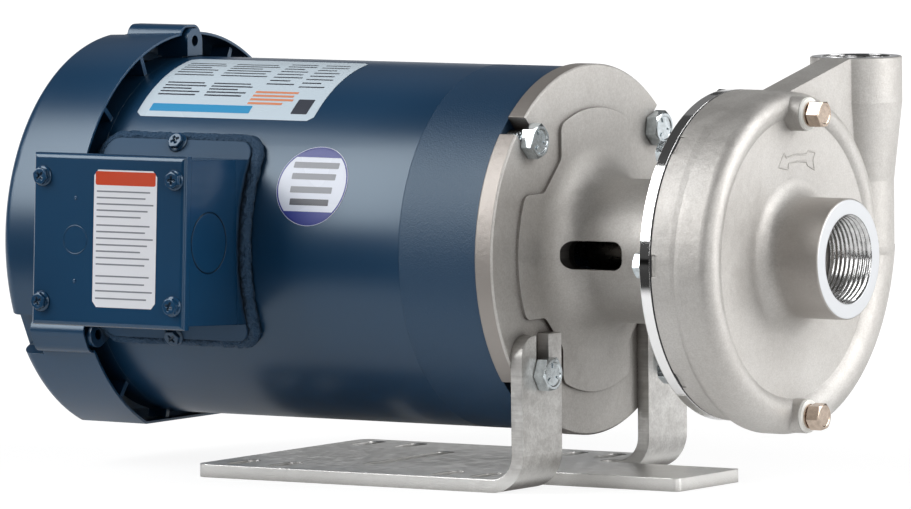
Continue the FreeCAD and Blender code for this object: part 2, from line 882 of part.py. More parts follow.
def box_cover():
    half_x = box_length / 2
    half_z = box_height / 2
    back = -box_front + box_cover_lip
    pan = block(box_middle - half_x, box_middle + half_x, -box_front, back, -half_z, half_z)
    rims = [e for e in pan.Edges if abs(e.CenterOfMass.y + box_front) < 0.01]
    pan = pan.makeFillet(box_cover_round, rims)
    hollow = block(box_middle - half_x + box_wall, box_middle + half_x - box_wall, -box_front + box_wall,
                   back + 1, -half_z + box_wall, half_z - box_wall)
    pan = pan.cut(hollow)
    for x, z in box_screw_places():
        pan = pan.cut(Part.makeCylinder(box_screw_radius + bolt_gap, 6, V(x, -box_front - 1, z), V(0, 1, 0)))
    return turned(pan, box_tilt)


def flanged_screw(grip):
    """Hex washer-head screw that points along +X, its head's seat at x = 0."""
    flange = cylinder(box_screw_flange, -0.9, 0)
    head = hexagon(box_screw_across, 0, box_screw_head)
    head.rotate(ORIGIN, V(0, 0, 1), 180)
    head.translate(V(-0.9, 0, 0))
    shank = cylinder(box_screw_radius, 0, grip)
    return fused([flange, head, shank])


def box_cover_screws():
    screws = []
    for x, z in box_screw_places():
        screw = flanged_screw(box_screw_length)
        screw.rotate(ORIGIN, V(0, 0, 1), 90)
        screw.translate(V(x, -box_front, z))
        screws.append(turned(screw, box_tilt))
    return screws


def saddle_screws():
    screws = []
    for side in (-1, 1):
        screw = flanged_screw(saddle_outer - shell_inner)
        screw.rotate(ORIGIN, V(0, 0, 1), 90)
        screw.translate(V(saddle_screw_x, -saddle_outer, 0))
        screws.append(turned(screw, box_tilt + side * saddle_screw_angle))
    return screws


def ground_screw():
    shank = cylinder(ground_screw_radius, -ground_screw_length, 0)
    screw = fused([shank, hexagon(ground_screw_across, 0, ground_screw_head)])
    screw.rotate(ORIGIN, V(0, 0, 1), -90)
    return turned(moved(screw, *ground_screw_place()), box_tilt)


def terminal_board():
    """Board on two standoffs inside the box, beside the lead hole."""
    x0 = box_middle - board_length / 2
    y0 = -saddle_outer - board_standoff
    z0 = lead_hole + 1
    z1 = z0 + min(board_height, box_height / 2 - z0 - 3 * box_wall)
    board = block(x0, x0 + board_length, y0 - board_thick, y0, z0, z1)
    drum = cylinder(saddle_outer + slip_gap, box_middle - box_length, box_middle + box_length)
    feet = []
    for x in (x0 + 5, x0 + board_length - 5):
        foot = Part.makeCylinder(3, saddle_outer + board_standoff, V(x, 0, (z0 + z1) / 2), V(0, -1, 0))
        feet.append(foot.cut(drum))
    return turned(fused([board] + feet), box_tilt)


def terminal_studs():
    x0 = box_middle - board_length / 2
    y0 = -saddle_outer - board_standoff - board_thick
    z0 = lead_hole + 1
    z1 = z0 + min(board_height, box_height / 2 - z0 - 3 * box_wall)
    studs = []
    for i in range(terminal_count):
        x = x0 + board_length * (i + 0.5) / terminal_count
        stud = Part.makeCylinder(terminal_radius, terminal_height, V(x, y0, (z0 + z1) / 2), V(0, -1, 0))
        studs.append(turned(stud, box_tilt))
    return studs


def lead_grommet():
    """Rubber bush that lines the lead hole through the saddle and the shell."""
    start = shell_inner + seat_gap
    outside = Part.makeCylinder(lead_hole - 2 - slip_gap, saddle_outer + grommet_proud - start,
                                V(box_middle, -start, 0), V(0, -1, 0))
    inside = Part.makeCylinder(lead_hole - 5, saddle_outer + 10, V(box_middle, 0, 0), V(0, -1, 0))
    return turned(outside.cut(inside), box_tilt)


# Pump adapter and its fasteners


def pad_outline():
    """Raised pad: a disc notched round each flange bolt."""
    disc = cylinder(pad_radius, flange_thick - 1, flange_thick + pad_height)
    notch = prism([(pad_notch, flange_radius), (pad_notch, pad_notch_deep), (pad_notch_deep, pad_notch),
                   (flange_radius, pad_notch), (flange_radius, flange_radius)],
                  flange_thick - 2, flange_thick + pad_height + 1)
    for cutter in around(notch, (0, 90, 180, 270)):
        disc = disc.cut(cutter)
    corners = []
    for edge in disc.Edges:
        step = edge.Vertexes[0].Point - edge.Vertexes[-1].Point
        if abs(step.x) > pad_height and abs(step.y) < 0.01 and abs(step.z) < 0.01:
            corners.append(edge)
    return disc.makeFillet(pad_corner, corners)


def motor_adapter():
    arc_side = neck_root * (1 - math.sqrt(0.5))
    root_side = disc_root * (1 - math.sqrt(0.5))
    pad_face = flange_thick + pad_height
    neck = revolve([
        (flange_thick - 1, 0), (flange_thick - 1, neck_radius + neck_root),
        (pad_face, neck_radius + neck_root), (pad_face + arc_side, neck_radius + arc_side, "arc"),
        (pad_face + neck_root, neck_radius),
        (disc_back - disc_root, neck_radius),
        (disc_back - root_side, neck_radius + root_side, "arc"), (disc_back, neck_radius + disc_root),
        (disc_back, disc_radius), (disc_front, disc_radius), (disc_front, pilot_radius),
        (pilot_front, pilot_radius), (pilot_front, 0)])
    flange = cylinder(flange_radius, 0, flange_thick)
    flange = flange.makeChamfer(0.8, [e for e in flange.Edges if e.Closed])
    body = fused([flange, pad_outline(), neck])
    body = body.cut(cylinder(spigot_radius + slip_gap, -1, spigot_height + 0.5))
    body = body.cut(cylinder(neck_bore, -1, seal_wall_x))
    body = body.cut(cylinder(shaft_hole, -1, pilot_front + 1))
    body = body.cut(cylinder(seat_pocket, seal_wall_x + seal_wall, pilot_front + 1))
    body = body.cut(cylinder(seal_chamber, seal_wall_x + seal_wall + seat_depth, pilot_front + 1))
    window = block(window_start, window_start + window_length, -flange_radius, flange_radius,
                   -window_height / 2, window_height / 2)
    corners = []
    for x in (window_start, window_start + window_length):
        for z in (-window_height / 2, window_height / 2):
            for edge in window.Edges:
                middle = edge.CenterOfMass
                if abs(middle.x - x) < 0.01 and abs(middle.z - z) < 0.01:
                    corners.append(edge)
    body = body.cut(window.makeFillet(window_corner, corners))
    slot = fused([cylinder(leg_slot_width / 2, -1, flange_thick + 1, face_bolt_radius_at, 0),
                  block(-1, flange_thick + 1, face_bolt_radius_at, flange_radius + 2,
                        -leg_slot_width / 2, leg_slot_width / 2)])
    for cutter in around(slot, face_bolt_angles):
        body = body.cut(cutter)
    hole = cylinder(casing_bolt_radius + bolt_gap, disc_back - 1, disc_front + 1, casing_bolt_circle / 2, 0)
    for cutter in around(hole, even_angles(casing_bolt_count)):
        body = body.cut(cutter)
    return body


def hex_bolt(across, head, radius, length):
    """Hex-head bolt along X with its seat at x = 0 and its head towards +X."""
    shank = cylinder(radius, -length, 0)
    tips = [e for e in shank.Edges if e.Closed and e.Vertexes[0].Point.x < 0.01 - length]
    shank = shank.makeChamfer(0.6, tips)
    return fused([hexagon(across, 0, head), shank])


def adapter_bolts():
    """Upper pair of C-face bolts, which bear on the flange."""
    bolt = hex_bolt(face_bolt_across, face_bolt_head, face_bolt_radius, flange_thick + face_bolt_grip)
    return around(moved(bolt, x=flange_thick, y=face_bolt_radius_at), face_bolt_angles[:2])


def base_bolts():
    """Lower pair of C-face bolts, which also clamp the legs of the base."""
    bolt = hex_bolt(face_bolt_across, face_bolt_head, face_bolt_radius, leg_front + face_bolt_grip)
    return around(moved(bolt, x=leg_front, y=face_bolt_radius_at), face_bolt_angles[2:])


def casing_bolts():
    grip = disc_thick + casing_gasket_thick + casing_bolt_grip
    bolt = hex_bolt(casing_bolt_across, casing_bolt_head, casing_bolt_radius, grip)
    bolt.rotate(ORIGIN, V(0, 0, 1), 180)
    bolt = moved(bolt, x=disc_back, y=casing_bolt_circle / 2)
    return around(bolt, even_angles(casing_bolt_count))


def casing_gasket():
    sheet = ring(disc_radius - 0.5, pilot_radius + slip_gap, disc_front, casing_back)
    hole = cylinder(casing_bolt_radius + bolt_gap, disc_front - 1, casing_back + 1,
                    casing_bolt_circle / 2, 0)
    for cutter in around(hole, even_angles(casing_bolt_count)):
        sheet = sheet.cut(cutter)
    return sheet


# Stub shaft and mechanical seal


def stub_shaft():
    nose = impeller_back_x + shroud_back + washer_thick + nut_length - 1
    shaft = revolve([
        (sleeve_start, 0), (sleeve_start, sleeve_radius - 1), (sleeve_start + 1, sleeve_radius),
        (sleeve_end, sleeve_radius), (sleeve_end + sleeve_taper, pump_shaft_radius),
        (hub_back_x, pump_shaft_radius), (hub_back_x, thread_radius), (nose - 0.8, thread_radius),
        (nose, thread_radius - 0.8), (nose, 0)])
    shaft = shaft.cut(cylinder(shaft_radius + run_gap, sleeve_start - 1, shaft_reach + 1))
    half = key_size / 2 + slip_gap
    shaft = shaft.cut(block(sleeve_start - 1, key_start + key_length + 1, -half, half, 0,
                            shaft_radius + key_size / 2 + slip_gap))
    for x, angle in zip(set_screw_xs, set_screw_angles):
        hole = Part.makeCylinder(set_screw_radius + slip_gap, sleeve_radius + 2, V(x, 0, 0), V(0, 1, 0))
        shaft = shaft.cut(turned(hole, angle))
    return shaft


def set_screws():
    screws = []
    for x, angle in zip(set_screw_xs, set_screw_angles):
        start = shaft_radius + slip_gap
        screw = Part.makeCylinder(set_screw_radius, sleeve_radius - 0.4 - start, V(x, start, 0), V(0, 1, 0))
        socket = Part.makeCylinder(set_screw_radius * 0.5, 2, V(x, sleeve_radius - 2, 0), V(0, 1, 0))
        screws.append(turned(screw.cut(socket), angle))
    return screws


def shaft_slinger():
    """Rubber disc that throws leaked liquid clear of the motor."""
    start = seal_wall_x - seat_gap - 1 - slinger_thick
    lip = ring(pump_shaft_radius + 3, pump_shaft_radius + run_gap, sleeve_end + sleeve_taper, start + 1)
    disc = ring(slinger_radius, pump_shaft_radius + run_gap, start, start + slinger_thick)
    return fused([disc, lip]) if start > sleeve_end + sleeve_taper else disc


def seal_seat():
    pocket = seal_wall_x + seal_wall
    return ring(seat_outer, seat_inner, pocket + 2, pocket + seat_depth + seat_proud)


def seat_cup():
    pocket = seal_wall_x + seal_wall
    cup = ring(seat_pocket - slip_gap / 2, seat_inner + 0.5, pocket, pocket + seat_depth - 1)
    return cup.cut(cylinder(seat_outer, pocket + 2, pocket + seat_depth + 1))


def seal_face_x():
    return seal_wall_x + seal_wall + seat_depth + seat_proud


def seal_head():
    start = seal_face_x()
    face = ring(head_radius, pump_shaft_radius + 0.4, start, start + head_ring)
    return face


def seal_bellows():
    start = seal_face_x() + head_ring
    end = hub_back_x
    body = ring(head_radius + 0.6, pump_shaft_radius + run_gap, start, min(start + bellows_length, end))
    groove = ring(head_radius + 2, head_radius - 1, start + 1.6, start + 2.6)
    return body.cut(groove)


def seal_spring():
    start = seal_face_x() + head_ring + seat_gap + spring_wire
    end = impeller_back_x - seat_gap - spring_wire
    steps = spring_turns * spring_sections
    sections = []
    for i in range(steps + 1):
        angle = math.radians(360.0 * i / spring_sections)
        outward = V(0, math.cos(angle), math.sin(angle))
        centre = V(start + (end - start) * i / steps, 0, 0) + outward * spring_radius
        sections.append(Part.Wire(Part.makeCircle(spring_wire, centre, outward.cross(X_AXIS))))
    return Part.makeLoft(sections, True, False)


# Impeller


def vane():
    """One backward-swept vane, drawn between the shrouds as an arc of even thickness."""
    steps = 6
    start = impeller_back_x + shroud_back - 0.5
    end = impeller_back_x + shroud_back + vane_height + 0.5
    outer_side = []
    inner_side = []
    for i in range(steps + 1):
        share = i / steps
        radius = vane_inner + (impeller_radius - vane_inner) * share
        angle = math.radians(-vane_sweep * share)
        half = vane_thick / 2 / radius * 1.15
        outer_side.append(V(start, radius * math.cos(angle + half), radius * math.sin(angle + half)))
        inner_side.append(V(start, radius * math.cos(angle - half), radius * math.sin(angle - half)))
    first = Part.BSplineCurve()
    first.interpolate(outer_side)
    second = Part.BSplineCurve()
    second.interpolate(inner_side)
    outline = Part.Wire([first.toShape(), Part.makeLine(outer_side[-1], inner_side[-1]), second.toShape(),
                         Part.makeLine(inner_side[0], outer_side[0])])
    return Part.Face(outline).extrude(V(end - start, 0, 0))


def impeller():
    back_face = impeller_back_x + shroud_back
    front_face = back_face + vane_height
    hub = cylinder(impeller_hub, hub_back_x, back_face + 1)
    back = cylinder(impeller_radius, impeller_back_x, back_face)
    front = ring(impeller_radius, eye_inner, front_face, front_face + shroud_front)
    eye = ring(eye_ring_radius, eye_inner, front_face, eye_ring_end)
    vanes = around(vane(), even_angles(vane_count))
    wheel = fused([hub, back, front, eye] + vanes)
    wheel = wheel.common(cylinder(impeller_radius, hub_back_x - 1, eye_ring_end + 1))
    return wheel.cut(cylinder(thread_radius + slip_gap, hub_back_x - 1, front_face + 1))


def impeller_washer():
    start = impeller_back_x + shroud_back + 1
    return ring(nut_across / 2, thread_radius + slip_gap, start, start + washer_thick)


def impeller_nut():
    start = impeller_back_x + shroud_back + 1 + washer_thick
    nut = hexagon(nut_across - 1, start, start + nut_length)
    return nut.cut(cylinder(thread_radius + slip_gap, start - 1, start + nut_length - 2))


# Volute casing


def stadium(angle, inner, outer, back, front):
    """Rounded section in the half plane at one angle, closed by four arcs and four lines."""
    width = outer - inner
    length = front - back
    corner = 0.48 * min(width, length)
    bulge = corner * math.sqrt(0.5)

    def at(x, radius):
        a = math.radians(angle)
        return V(x, radius * math.cos(a), radius * math.sin(a))

    corners = [(back, inner, 1, 1), (front, inner, -1, 1), (front, outer, -1, -1), (back, outer, 1, -1)]
    edges = []
    last = None
    first = None
    for i, (x, radius, sx, sr) in enumerate(corners):
        centre_x = x + sx * corner
        centre_r = radius + sr * corner
        along_first = i % 2 == 1
        enter = (centre_x, radius) if along_first else (x, centre_r)
        leave = (x, centre_r) if along_first else (centre_x, radius)
        middle = (centre_x - sx * bulge, centre_r - sr * bulge)
        if last is not None:
            edges.append(Part.makeLine(last, at(*enter)))
        else:
            first = at(*enter)
        edges.append(Part.Arc(at(*enter), at(*middle), at(*leave)).toShape())
        last = at(*leave)
    edges.append(Part.makeLine(last, first))
    return Part.Wire(edges)


def spiral(start, outer, inner, back, front):
    """Loft of growing sections from one angle round to the discharge, at angle 360."""
    count = int((360 - start) / volute_step)
    sections = []
    for i in range(count + 1):
        angle = start + volute_step * i
        sections.append(stadium(angle, inner, outer(angle), back(angle), front(angle)))
    return Part.makeLoft(sections, True, False)


def growth(angle, start):
    return max(0.0, (angle - start) / (360.0 - start))


def wall_outer(angle):
    return side_radius + (volute_reach - side_radius) * growth(angle, volute_start) ** volute_power


def wall_front(angle):
    return casing_crown + crown_growth * growth(angle, volute_start)


def wall_back(angle):
    return horn_back + (casing_back + horn_setback - horn_back) * growth(angle, horn_back_start)


def channel_outer(angle):
    reach = channel_reach - channel_start_radius
    return channel_start_radius + reach * growth(angle, channel_start) ** channel_power


def discharge_pipe():
    """Pipe with a ball at its foot, a plain neck and a taper up to the threaded end."""
    bulge = discharge_neck * math.sqrt(0.5)
    pipe = revolve([
        (-discharge_neck, 0), (-bulge, bulge, "arc"), (0, discharge_neck),
        (discharge_taper_low, discharge_neck), (discharge_taper_high, discharge_radius),
        (discharge_top - 0.6, discharge_radius),
        (discharge_top, discharge_radius - 0.6), (discharge_top, 0)])
    pipe.rotate(ORIGIN, V(0, 1, 0), -90)
    return moved(pipe, x=discharge_x, y=discharge_y)


def casing_outside():
    wall = spiral(0, wall_outer, face_radius, wall_back, wall_front)
    hidden = (side_radius + face_radius) / 2 - 3
    root = suction_hub_root * (1 - math.sqrt(0.5))
    core = revolve([
        (casing_back, 0), (casing_back, disc_radius - 0.5), (casing_back + 0.5, disc_radius),
        (casing_back + rim_length, disc_radius), (casing_back + rim_length + rim_taper, side_radius - 0.1),
        (casing_back + rim_length + rim_taper, hidden), (face_x, hidden),
        (face_x, suction_hub_radius + suction_hub_root),
        (face_x + root, suction_hub_radius + root, "arc"), (face_x + suction_hub_root, suction_hub_radius),
        (suction_hub_end - 0.6, suction_hub_radius), (suction_hub_end, suction_hub_radius - 0.6),
        (suction_hub_end, 0)])
    vent = cylinder(plug_boss_radius, face_x - 6, vent_boss_x, 0, vent_plug_z)
    drain = cylinder(plug_boss_radius, face_x - 6, drain_boss_x, 0, drain_plug_z)
    relief = cylinder(disc_radius + seat_gap, disc_back, casing_back)
    return fused([core, wall, discharge_pipe(), web(), vent, drain]).cut(relief)


def web():
    """Gusset between the top of the casing and the discharge pipe."""
    front = discharge_x + web_front
    high = discharge_top - web_drop
    return prism([(0, side_radius - 20), (0, web_low), (discharge_y - discharge_radius, high),
                  (discharge_y, high), (discharge_y, 10), (side_radius - 20, 10)], front - web_thick, front)


def casing_inside():
    duct = spiral(channel_start, channel_outer, chamber_radius - 3, lambda angle: channel_back,
                  lambda angle: casing_crown - channel_wall)
    chamber = cylinder(chamber_radius, casing_back - 1, chamber_front)
    recess = cylinder(pilot_radius + slip_gap, casing_back - 1, pilot_front + 0.5)
    eye = cylinder(eye_ring_radius + wear_gap, chamber_front - 1, eye_ring_end + wear_gap)
    passage = cylinder(suction_passage, eye_ring_end, suction_hub_end)
    thread = cylinder(suction_thread, suction_hub_end - suction_thread_length, suction_hub_end + 1)
    riser_end = discharge_top - discharge_thread_length
    riser = upright(discharge_passage, discharge_passage_x, discharge_y, -1, riser_end + 1)
    mouth = upright(discharge_thread, discharge_x, discharge_y, riser_end, discharge_top + 1)
    return [duct, chamber, recess, eye, passage, thread, riser, mouth]


def volute_casing():
    body = casing_outside()
    for space in casing_inside():
        body = body.cut(space)
    hole = cylinder(casing_bolt_radius + slip_gap, casing_back - 1, casing_back + casing_bolt_grip + 0.5,
                    casing_bolt_circle / 2, 0)
    notch = block(casing_back, casing_back + rim_notch_length, disc_radius - rim_notch_deep, volute_reach,
                  -rim_notch_width / 2, rim_notch_width / 2)
    for cutter in around(hole, even_angles(casing_bolt_count)):
        body = body.cut(cutter)
    for cutter in around(notch, even_angles(casing_bolt_count)[1:]):
        body = body.cut(cutter)
    for z, boss_x in ((vent_plug_z, vent_boss_x), (drain_plug_z, drain_boss_x)):
        body = body.cut(cylinder(plug_radius + slip_gap, boss_x - plug_depth - 1, boss_x + 1, 0, z))
    return body


def plug(boss_x, z):
    """Hex-head pipe plug on its washer."""
    seat = boss_x + plug_washer_thick
    shank = cylinder(plug_radius, boss_x - plug_depth, seat)
    neck = cylinder(plug_neck_radius, seat, seat + plug_neck)
    head = hexagon(plug_across, seat + plug_neck, seat + plug_neck + plug_hex)
    return moved(fused([shank, neck, head]), z=z)


def plug_washers():
    washers = []
    for z, boss_x in ((vent_plug_z, vent_boss_x), (drain_plug_z, drain_boss_x)):
        washer = ring(plug_washer_radius, plug_radius + slip_gap, boss_x, boss_x + plug_washer_thick)
        washers.append(moved(washer, z=z))
    return washers


# Base


def y_slot(x, y, length, width, low, high):
    """Slot through a plate, rounded at both ends and running along Y."""
    reach = length / 2 - width / 2
    middle = block(x - width / 2, x + width / 2, y - reach, y + reach, low, high)
    ends = [upright(width / 2, x, y + side * reach, low, high) for side in (-1, 1)]
    return fused([middle] + ends)


def base_bracket():
    low = -shaft_height
    top = low + base_thick
    bend_x = flange_thick - bend_inner
    half = base_width / 2
    plate = block(base_rear, bend_x, -half, half, low, top)
    plate = plate.makeFillet(base_corner, vertical_edges(plate, base_rear, half) +
                             vertical_edges(plate, base_rear, -half))
    tongue = block(bend_x - 1, tongue_front, -tongue_width / 2, tongue_width / 2, low, top)
    tongue = tongue.makeFillet(tongue_corner, vertical_edges(tongue, tongue_front, tongue_width / 2) +
                               vertical_edges(tongue, tongue_front, -tongue_width / 2))
    body = fused([plate, tongue] + [leg(side) for side in (-1, 1)])
    relief = (half - leg_width - tongue_width / 2) / 2
    for side in (-1, 1):
        middle = side * (tongue_width / 2 + relief)
        notch = fused([block(bend_x - relief_back, leg_front + 1, middle - relief, middle + relief,
                             low - 1, top + 1),
                       upright(relief, bend_x - relief_back, middle, low - 1, top + 1)])
        body = body.cut(notch)
    for row in slot_rows:
        x = base_rear + row
        for side in (-1, 1):
            body = body.cut(y_slot(x, side * slot_y, slot_length, slot_width, low - 1, top + 1))
    return body.cut(y_slot(base_rear + centre_slot_row, 0, centre_slot_length, slot_width, low - 1, top + 1))


def leg(side):
    """Leg bent up from the plate, with a slot open at its top for the flange bolt."""
    low = -shaft_height
    inner = bend_inner
    outer = bend_inner + base_thick
    bend_x = flange_thick - bend_inner
    centre_z = low + base_thick + bend_inner
    diagonal = math.sqrt(0.5)
    outline = Part.Wire([
        Part.makeLine(V(bend_x - 1, 0, low), V(bend_x, 0, low)),
        Part.Arc(V(bend_x, 0, low), V(bend_x + outer * diagonal, 0, centre_z - outer * diagonal),
                 V(leg_front, 0, centre_z)).toShape(),
        Part.makeLine(V(leg_front, 0, centre_z), V(leg_front, 0, leg_top)),
        Part.makeLine(V(leg_front, 0, leg_top), V(flange_thick, 0, leg_top)),
        Part.makeLine(V(flange_thick, 0, leg_top), V(flange_thick, 0, centre_z)),
        Part.Arc(V(flange_thick, 0, centre_z), V(bend_x + inner * diagonal, 0, centre_z - inner * diagonal),
                 V(bend_x, 0, low + base_thick)).toShape(),
        Part.makeLine(V(bend_x, 0, low + base_thick), V(bend_x - 1, 0, low + base_thick)),
        Part.makeLine(V(bend_x - 1, 0, low + base_thick), V(bend_x - 1, 0, low))])
    strip = Part.Face(outline).extrude(V(0, leg_width, 0))
    strip.translate(V(0, base_width / 2 - leg_width, 0))
    corner = [e for e in strip.Edges if abs(e.CenterOfMass.y - base_width / 2) < 0.01
              and abs(e.CenterOfMass.z - leg_top) < 0.01]
    strip = strip.makeFillet(leg_corner, corner)
    place = face_bolt_radius_at * math.sin(math.radians(45))
    slot = fused([cylinder(leg_slot_width / 2, flange_thick - 1, leg_front + 1, place, -place),
                  block(flange_thick - 1, leg_front + 1, place - leg_slot_width / 2,
                        place + leg_slot_width / 2, -place, leg_top + 1)])
    strip = strip.cut(slot)
    if side < 0:
        strip = strip.mirror(ORIGIN, V(0, 1, 0))
    return strip


parts = {
    "motor_shell": motor_shell,
    "drive_endbell": drive_endbell,
    "rear_endshield": rear_endshield,
    "through_bolts": through_bolts,
    "stator_core": stator_core,
    "stator_windings": stator_windings,
    "rotor_core": rotor_core,
    "rotor_end_rings": rotor_end_rings,
    "front_bearing_outer": lambda: bearing_outer(front_bearing_x),
    "front_bearing_inner": lambda: bearing_inner(front_bearing_x),
    "front_bearing_balls": lambda: bearing_balls(front_bearing_x),
    "rear_bearing_outer": lambda: bearing_outer(rear_bearing_x),
    "rear_bearing_inner": lambda: bearing_inner(rear_bearing_x),
    "rear_bearing_balls": lambda: bearing_balls(rear_bearing_x),
    "wave_washer": wave_washer,
    "motor_shaft": motor_shaft,
    "shaft_key": shaft_key,
    "cooling_fan": cooling_fan,
    "fan_clip": fan_clip,
    "fan_cover": fan_cover,
    "fan_cover_screws": fan_cover_screws,
    "box_gasket": box_gasket,
    "conduit_box": conduit_box,
    "box_cover": box_cover,
    "box_cover_screws": box_cover_screws,
    "saddle_screws": saddle_screws,
    "ground_screw": ground_screw,
    "terminal_board": terminal_board,
    "terminal_studs": terminal_studs,
    "lead_grommet": lead_grommet,
    "motor_adapter": motor_adapter,
    "adapter_bolts": adapter_bolts,
    "base_bolts": base_bolts,
    "casing_bolts": casing_bolts,
    "casing_gasket": casing_gasket,
    "stub_shaft": stub_shaft,
    "set_screws": set_screws,
    "shaft_slinger": shaft_slinger,
    "seal_seat": seal_seat,
    "seat_cup": seat_cup,
    "seal_head": seal_head,
    "seal_bellows": seal_bellows,
    "seal_spring": seal_spring,
    "impeller": impeller,
    "impeller_washer": impeller_washer,
    "impeller_nut": impeller_nut,
    "volute_casing": volute_casing,
    "vent_plug": lambda: plug(vent_boss_x, vent_plug_z),
    "drain_plug": lambda: plug(drain_boss_x, drain_plug_z),
    "plug_washers": plug_washers,
    "base_bracket": base_bracket,
}

os.makedirs("parts", exist_ok=True)
for name, make in parts.items():
    shape = make()
    solids = []
    for piece in shape if isinstance(shape, list) else [shape]:
        solids.extend(piece.Solids)
    for solid in solids:
        solid.translate(V(0, 0, shaft_height))
    shape = solids[0] if len(solids) == 1 else Part.makeCompound(solids)
    shape.exportStep("parts/" + name + ".step")
    print(name, len(solids), "solids", round(shape.Volume), shape.isValid())
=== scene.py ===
import json
import math

import bpy
from mathutils import Matrix, Vector
from mathutils import noise as field


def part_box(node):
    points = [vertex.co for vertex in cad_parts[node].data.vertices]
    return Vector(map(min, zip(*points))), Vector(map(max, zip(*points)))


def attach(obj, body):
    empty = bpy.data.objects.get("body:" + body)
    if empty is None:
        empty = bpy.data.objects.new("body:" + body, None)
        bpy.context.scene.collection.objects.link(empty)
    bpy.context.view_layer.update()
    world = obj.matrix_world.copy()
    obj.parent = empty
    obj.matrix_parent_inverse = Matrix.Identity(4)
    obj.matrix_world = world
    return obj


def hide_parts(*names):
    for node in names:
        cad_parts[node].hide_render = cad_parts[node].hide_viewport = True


# Looks of a close-coupled centrifugal pump. Lengths are in metres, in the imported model's frame:
# X along the shaft towards the suction port, Z up, Z = 0 at the underside of the base.
# Angles about the shaft start at +Y, away from the camera, and 90 degrees is up.

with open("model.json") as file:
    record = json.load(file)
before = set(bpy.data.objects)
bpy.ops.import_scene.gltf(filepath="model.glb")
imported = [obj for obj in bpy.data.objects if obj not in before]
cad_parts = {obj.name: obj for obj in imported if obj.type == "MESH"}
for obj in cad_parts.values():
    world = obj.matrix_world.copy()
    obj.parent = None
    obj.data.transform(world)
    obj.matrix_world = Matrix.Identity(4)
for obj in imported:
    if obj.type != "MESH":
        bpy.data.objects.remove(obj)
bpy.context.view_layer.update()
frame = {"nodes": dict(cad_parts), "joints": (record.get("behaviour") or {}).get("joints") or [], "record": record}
MM = 0.001


def mm(*lengths):
    """Lengths given in millimetres, in metres."""
    return tuple(length * MM for length in lengths)


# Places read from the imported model
record = frame["record"]
shaft_z = next(j["pos_m"][2] for j in frame["joints"] if j["name"] == "shaft_spin")
mounts = {m["name"]: m for m in record["mounts"]}
slot_of = {s["node"]: s["material_slot"] for s in record["subparts"]}
suction_x = mounts["suction_port"]["pos_m"][0]
discharge = Vector(mounts["discharge_port"]["pos_m"])

# Camera
view_azimuth = 33.3868
view_elevation = 4.2768
view_roll = -0.5520
view_distance = 4.63207
view_target = Vector((-0.075, 0.013888, 0.100189))
focal_pixels = 10000.0
image_width = 911
sensor_width = 36.0

# C-face bolts, 3/8-16
face_bolt_reach = 74.6125 * MM
face_bolt_across = 14.29 * MM
face_bolt_head = 6.2 * MM
face_bolt_radius = 4.76 * MM
face_bolt_pitch = 1.5875 * MM
face_bolt_grip = 14.0 * MM
flange_front = 9.6 * MM
leg_front = 15.6 * MM

# Heads of hex bolts and plugs: round lines as shares of the distance across the flats
head_flat = 0.47
head_chamfer = math.radians(28)
head_washer = 0.3 * MM
mark_half = 0.030
mark_from = 0.20
mark_to = 0.35
mark_rise = 0.02 * MM
mark_root = 0.3 * MM

# Casing bolts, 1/4-20
casing_bolt_reach = 68.75 * MM
casing_bolt_across = 11.1 * MM
casing_bolt_head = 4.4 * MM
casing_bolt_radius = 3.17 * MM
casing_bolt_pitch = 1.27 * MM
casing_bolt_length = 13.8 * MM
casing_bolt_count = 8
disc_back = 82.0 * MM
disc_front = 87.2 * MM
disc_rim = 74.6 * MM
flange_land = 84.0 * MM
neck_inside = 30.5 * MM
neck_reach = 60.0 * MM

# Windows of the adapter's neck, rounded at the ends, where shade is painted into the casting's colour
window_middle = 31.0 * MM
window_flat = 10.0 * MM
window_upright = 1.5 * MM
window_corner = 5.02 * MM

# Painted screws
screw_across = 7.0 * MM
screw_flange = 4.8 * MM
screw_head = 3.2 * MM
screw_radius = 2.4 * MM
screw_length = 8.0 * MM
cross_reach = 2.0 * MM
cross_half = 0.5 * MM
cross_depth = 1.2 * MM
screw_collar = 0.9 * MM
screw_chamfer = math.radians(30)

# Conduit box
box_middle = -168.2 * MM
box_front = -133.0 * MM
box_tilt = math.radians(-3.0)
box_screw_x = 36.7 * MM
box_screw_z = 28.7 * MM
shell_radius = 83.5 * MM
saddle_outer = 88.7 * MM
saddle_screw_x = -169.3 * MM
saddle_screw_angle = math.radians(30.0)
saddle_half_length = 40.75 * MM
saddle_half_angle = math.radians(31.2)
saddle_corner = 7.0 * MM
bead_radius = 2.9 * MM
bead_offset = 2.3 * MM
bead_rise = 1.7 * MM
bead_step = 1.2 * MM

# Paint areas: the dull saddle, between two radii, and the glossier conduit box
saddle_low = 86.3 * MM
saddle_high = 89.2 * MM
saddle_rear = -212.0 * MM
saddle_side = -60.0 * MM
box_side = -88.5 * MM
box_rear = -210.5 * MM

# Fan cover screws
cover_screw_reach = 90.8 * MM
cover_screw_x = -243.8 * MM
cover_screw_angles = (90, 207, 333)

# Ports and plugs
suction_wall = mounts["suction_port"]["dims"]["r_mm"] * MM
discharge_wall = mounts["discharge_port"]["dims"]["r_mm"] * MM
port_depth = 21.0 * MM
pipe_pitch = 2.209 * MM
pipe_thread = 1.15 * MM
pipe_taper = 1 / 32
plug_across = 11.1 * MM
plug_hex = 6.5 * MM
plug_neck = 1.5 * MM
plug_neck_radius = 4.6 * MM
plug_turns = {"vent_plug": 0, "drain_plug": 9}
plug_heights = {"vent_plug": 65.0 * MM, "drain_plug": -71.8 * MM}
plug_tail = 8.0 * MM
plug_shank_radius = 4.0 * MM
plug_collar_radius = 5.6 * MM
wall_tuck = 0.02 * MM
casing_face = 117.0 * MM
hub_reach = 30.0 * MM
riser_reach = 22.0 * MM

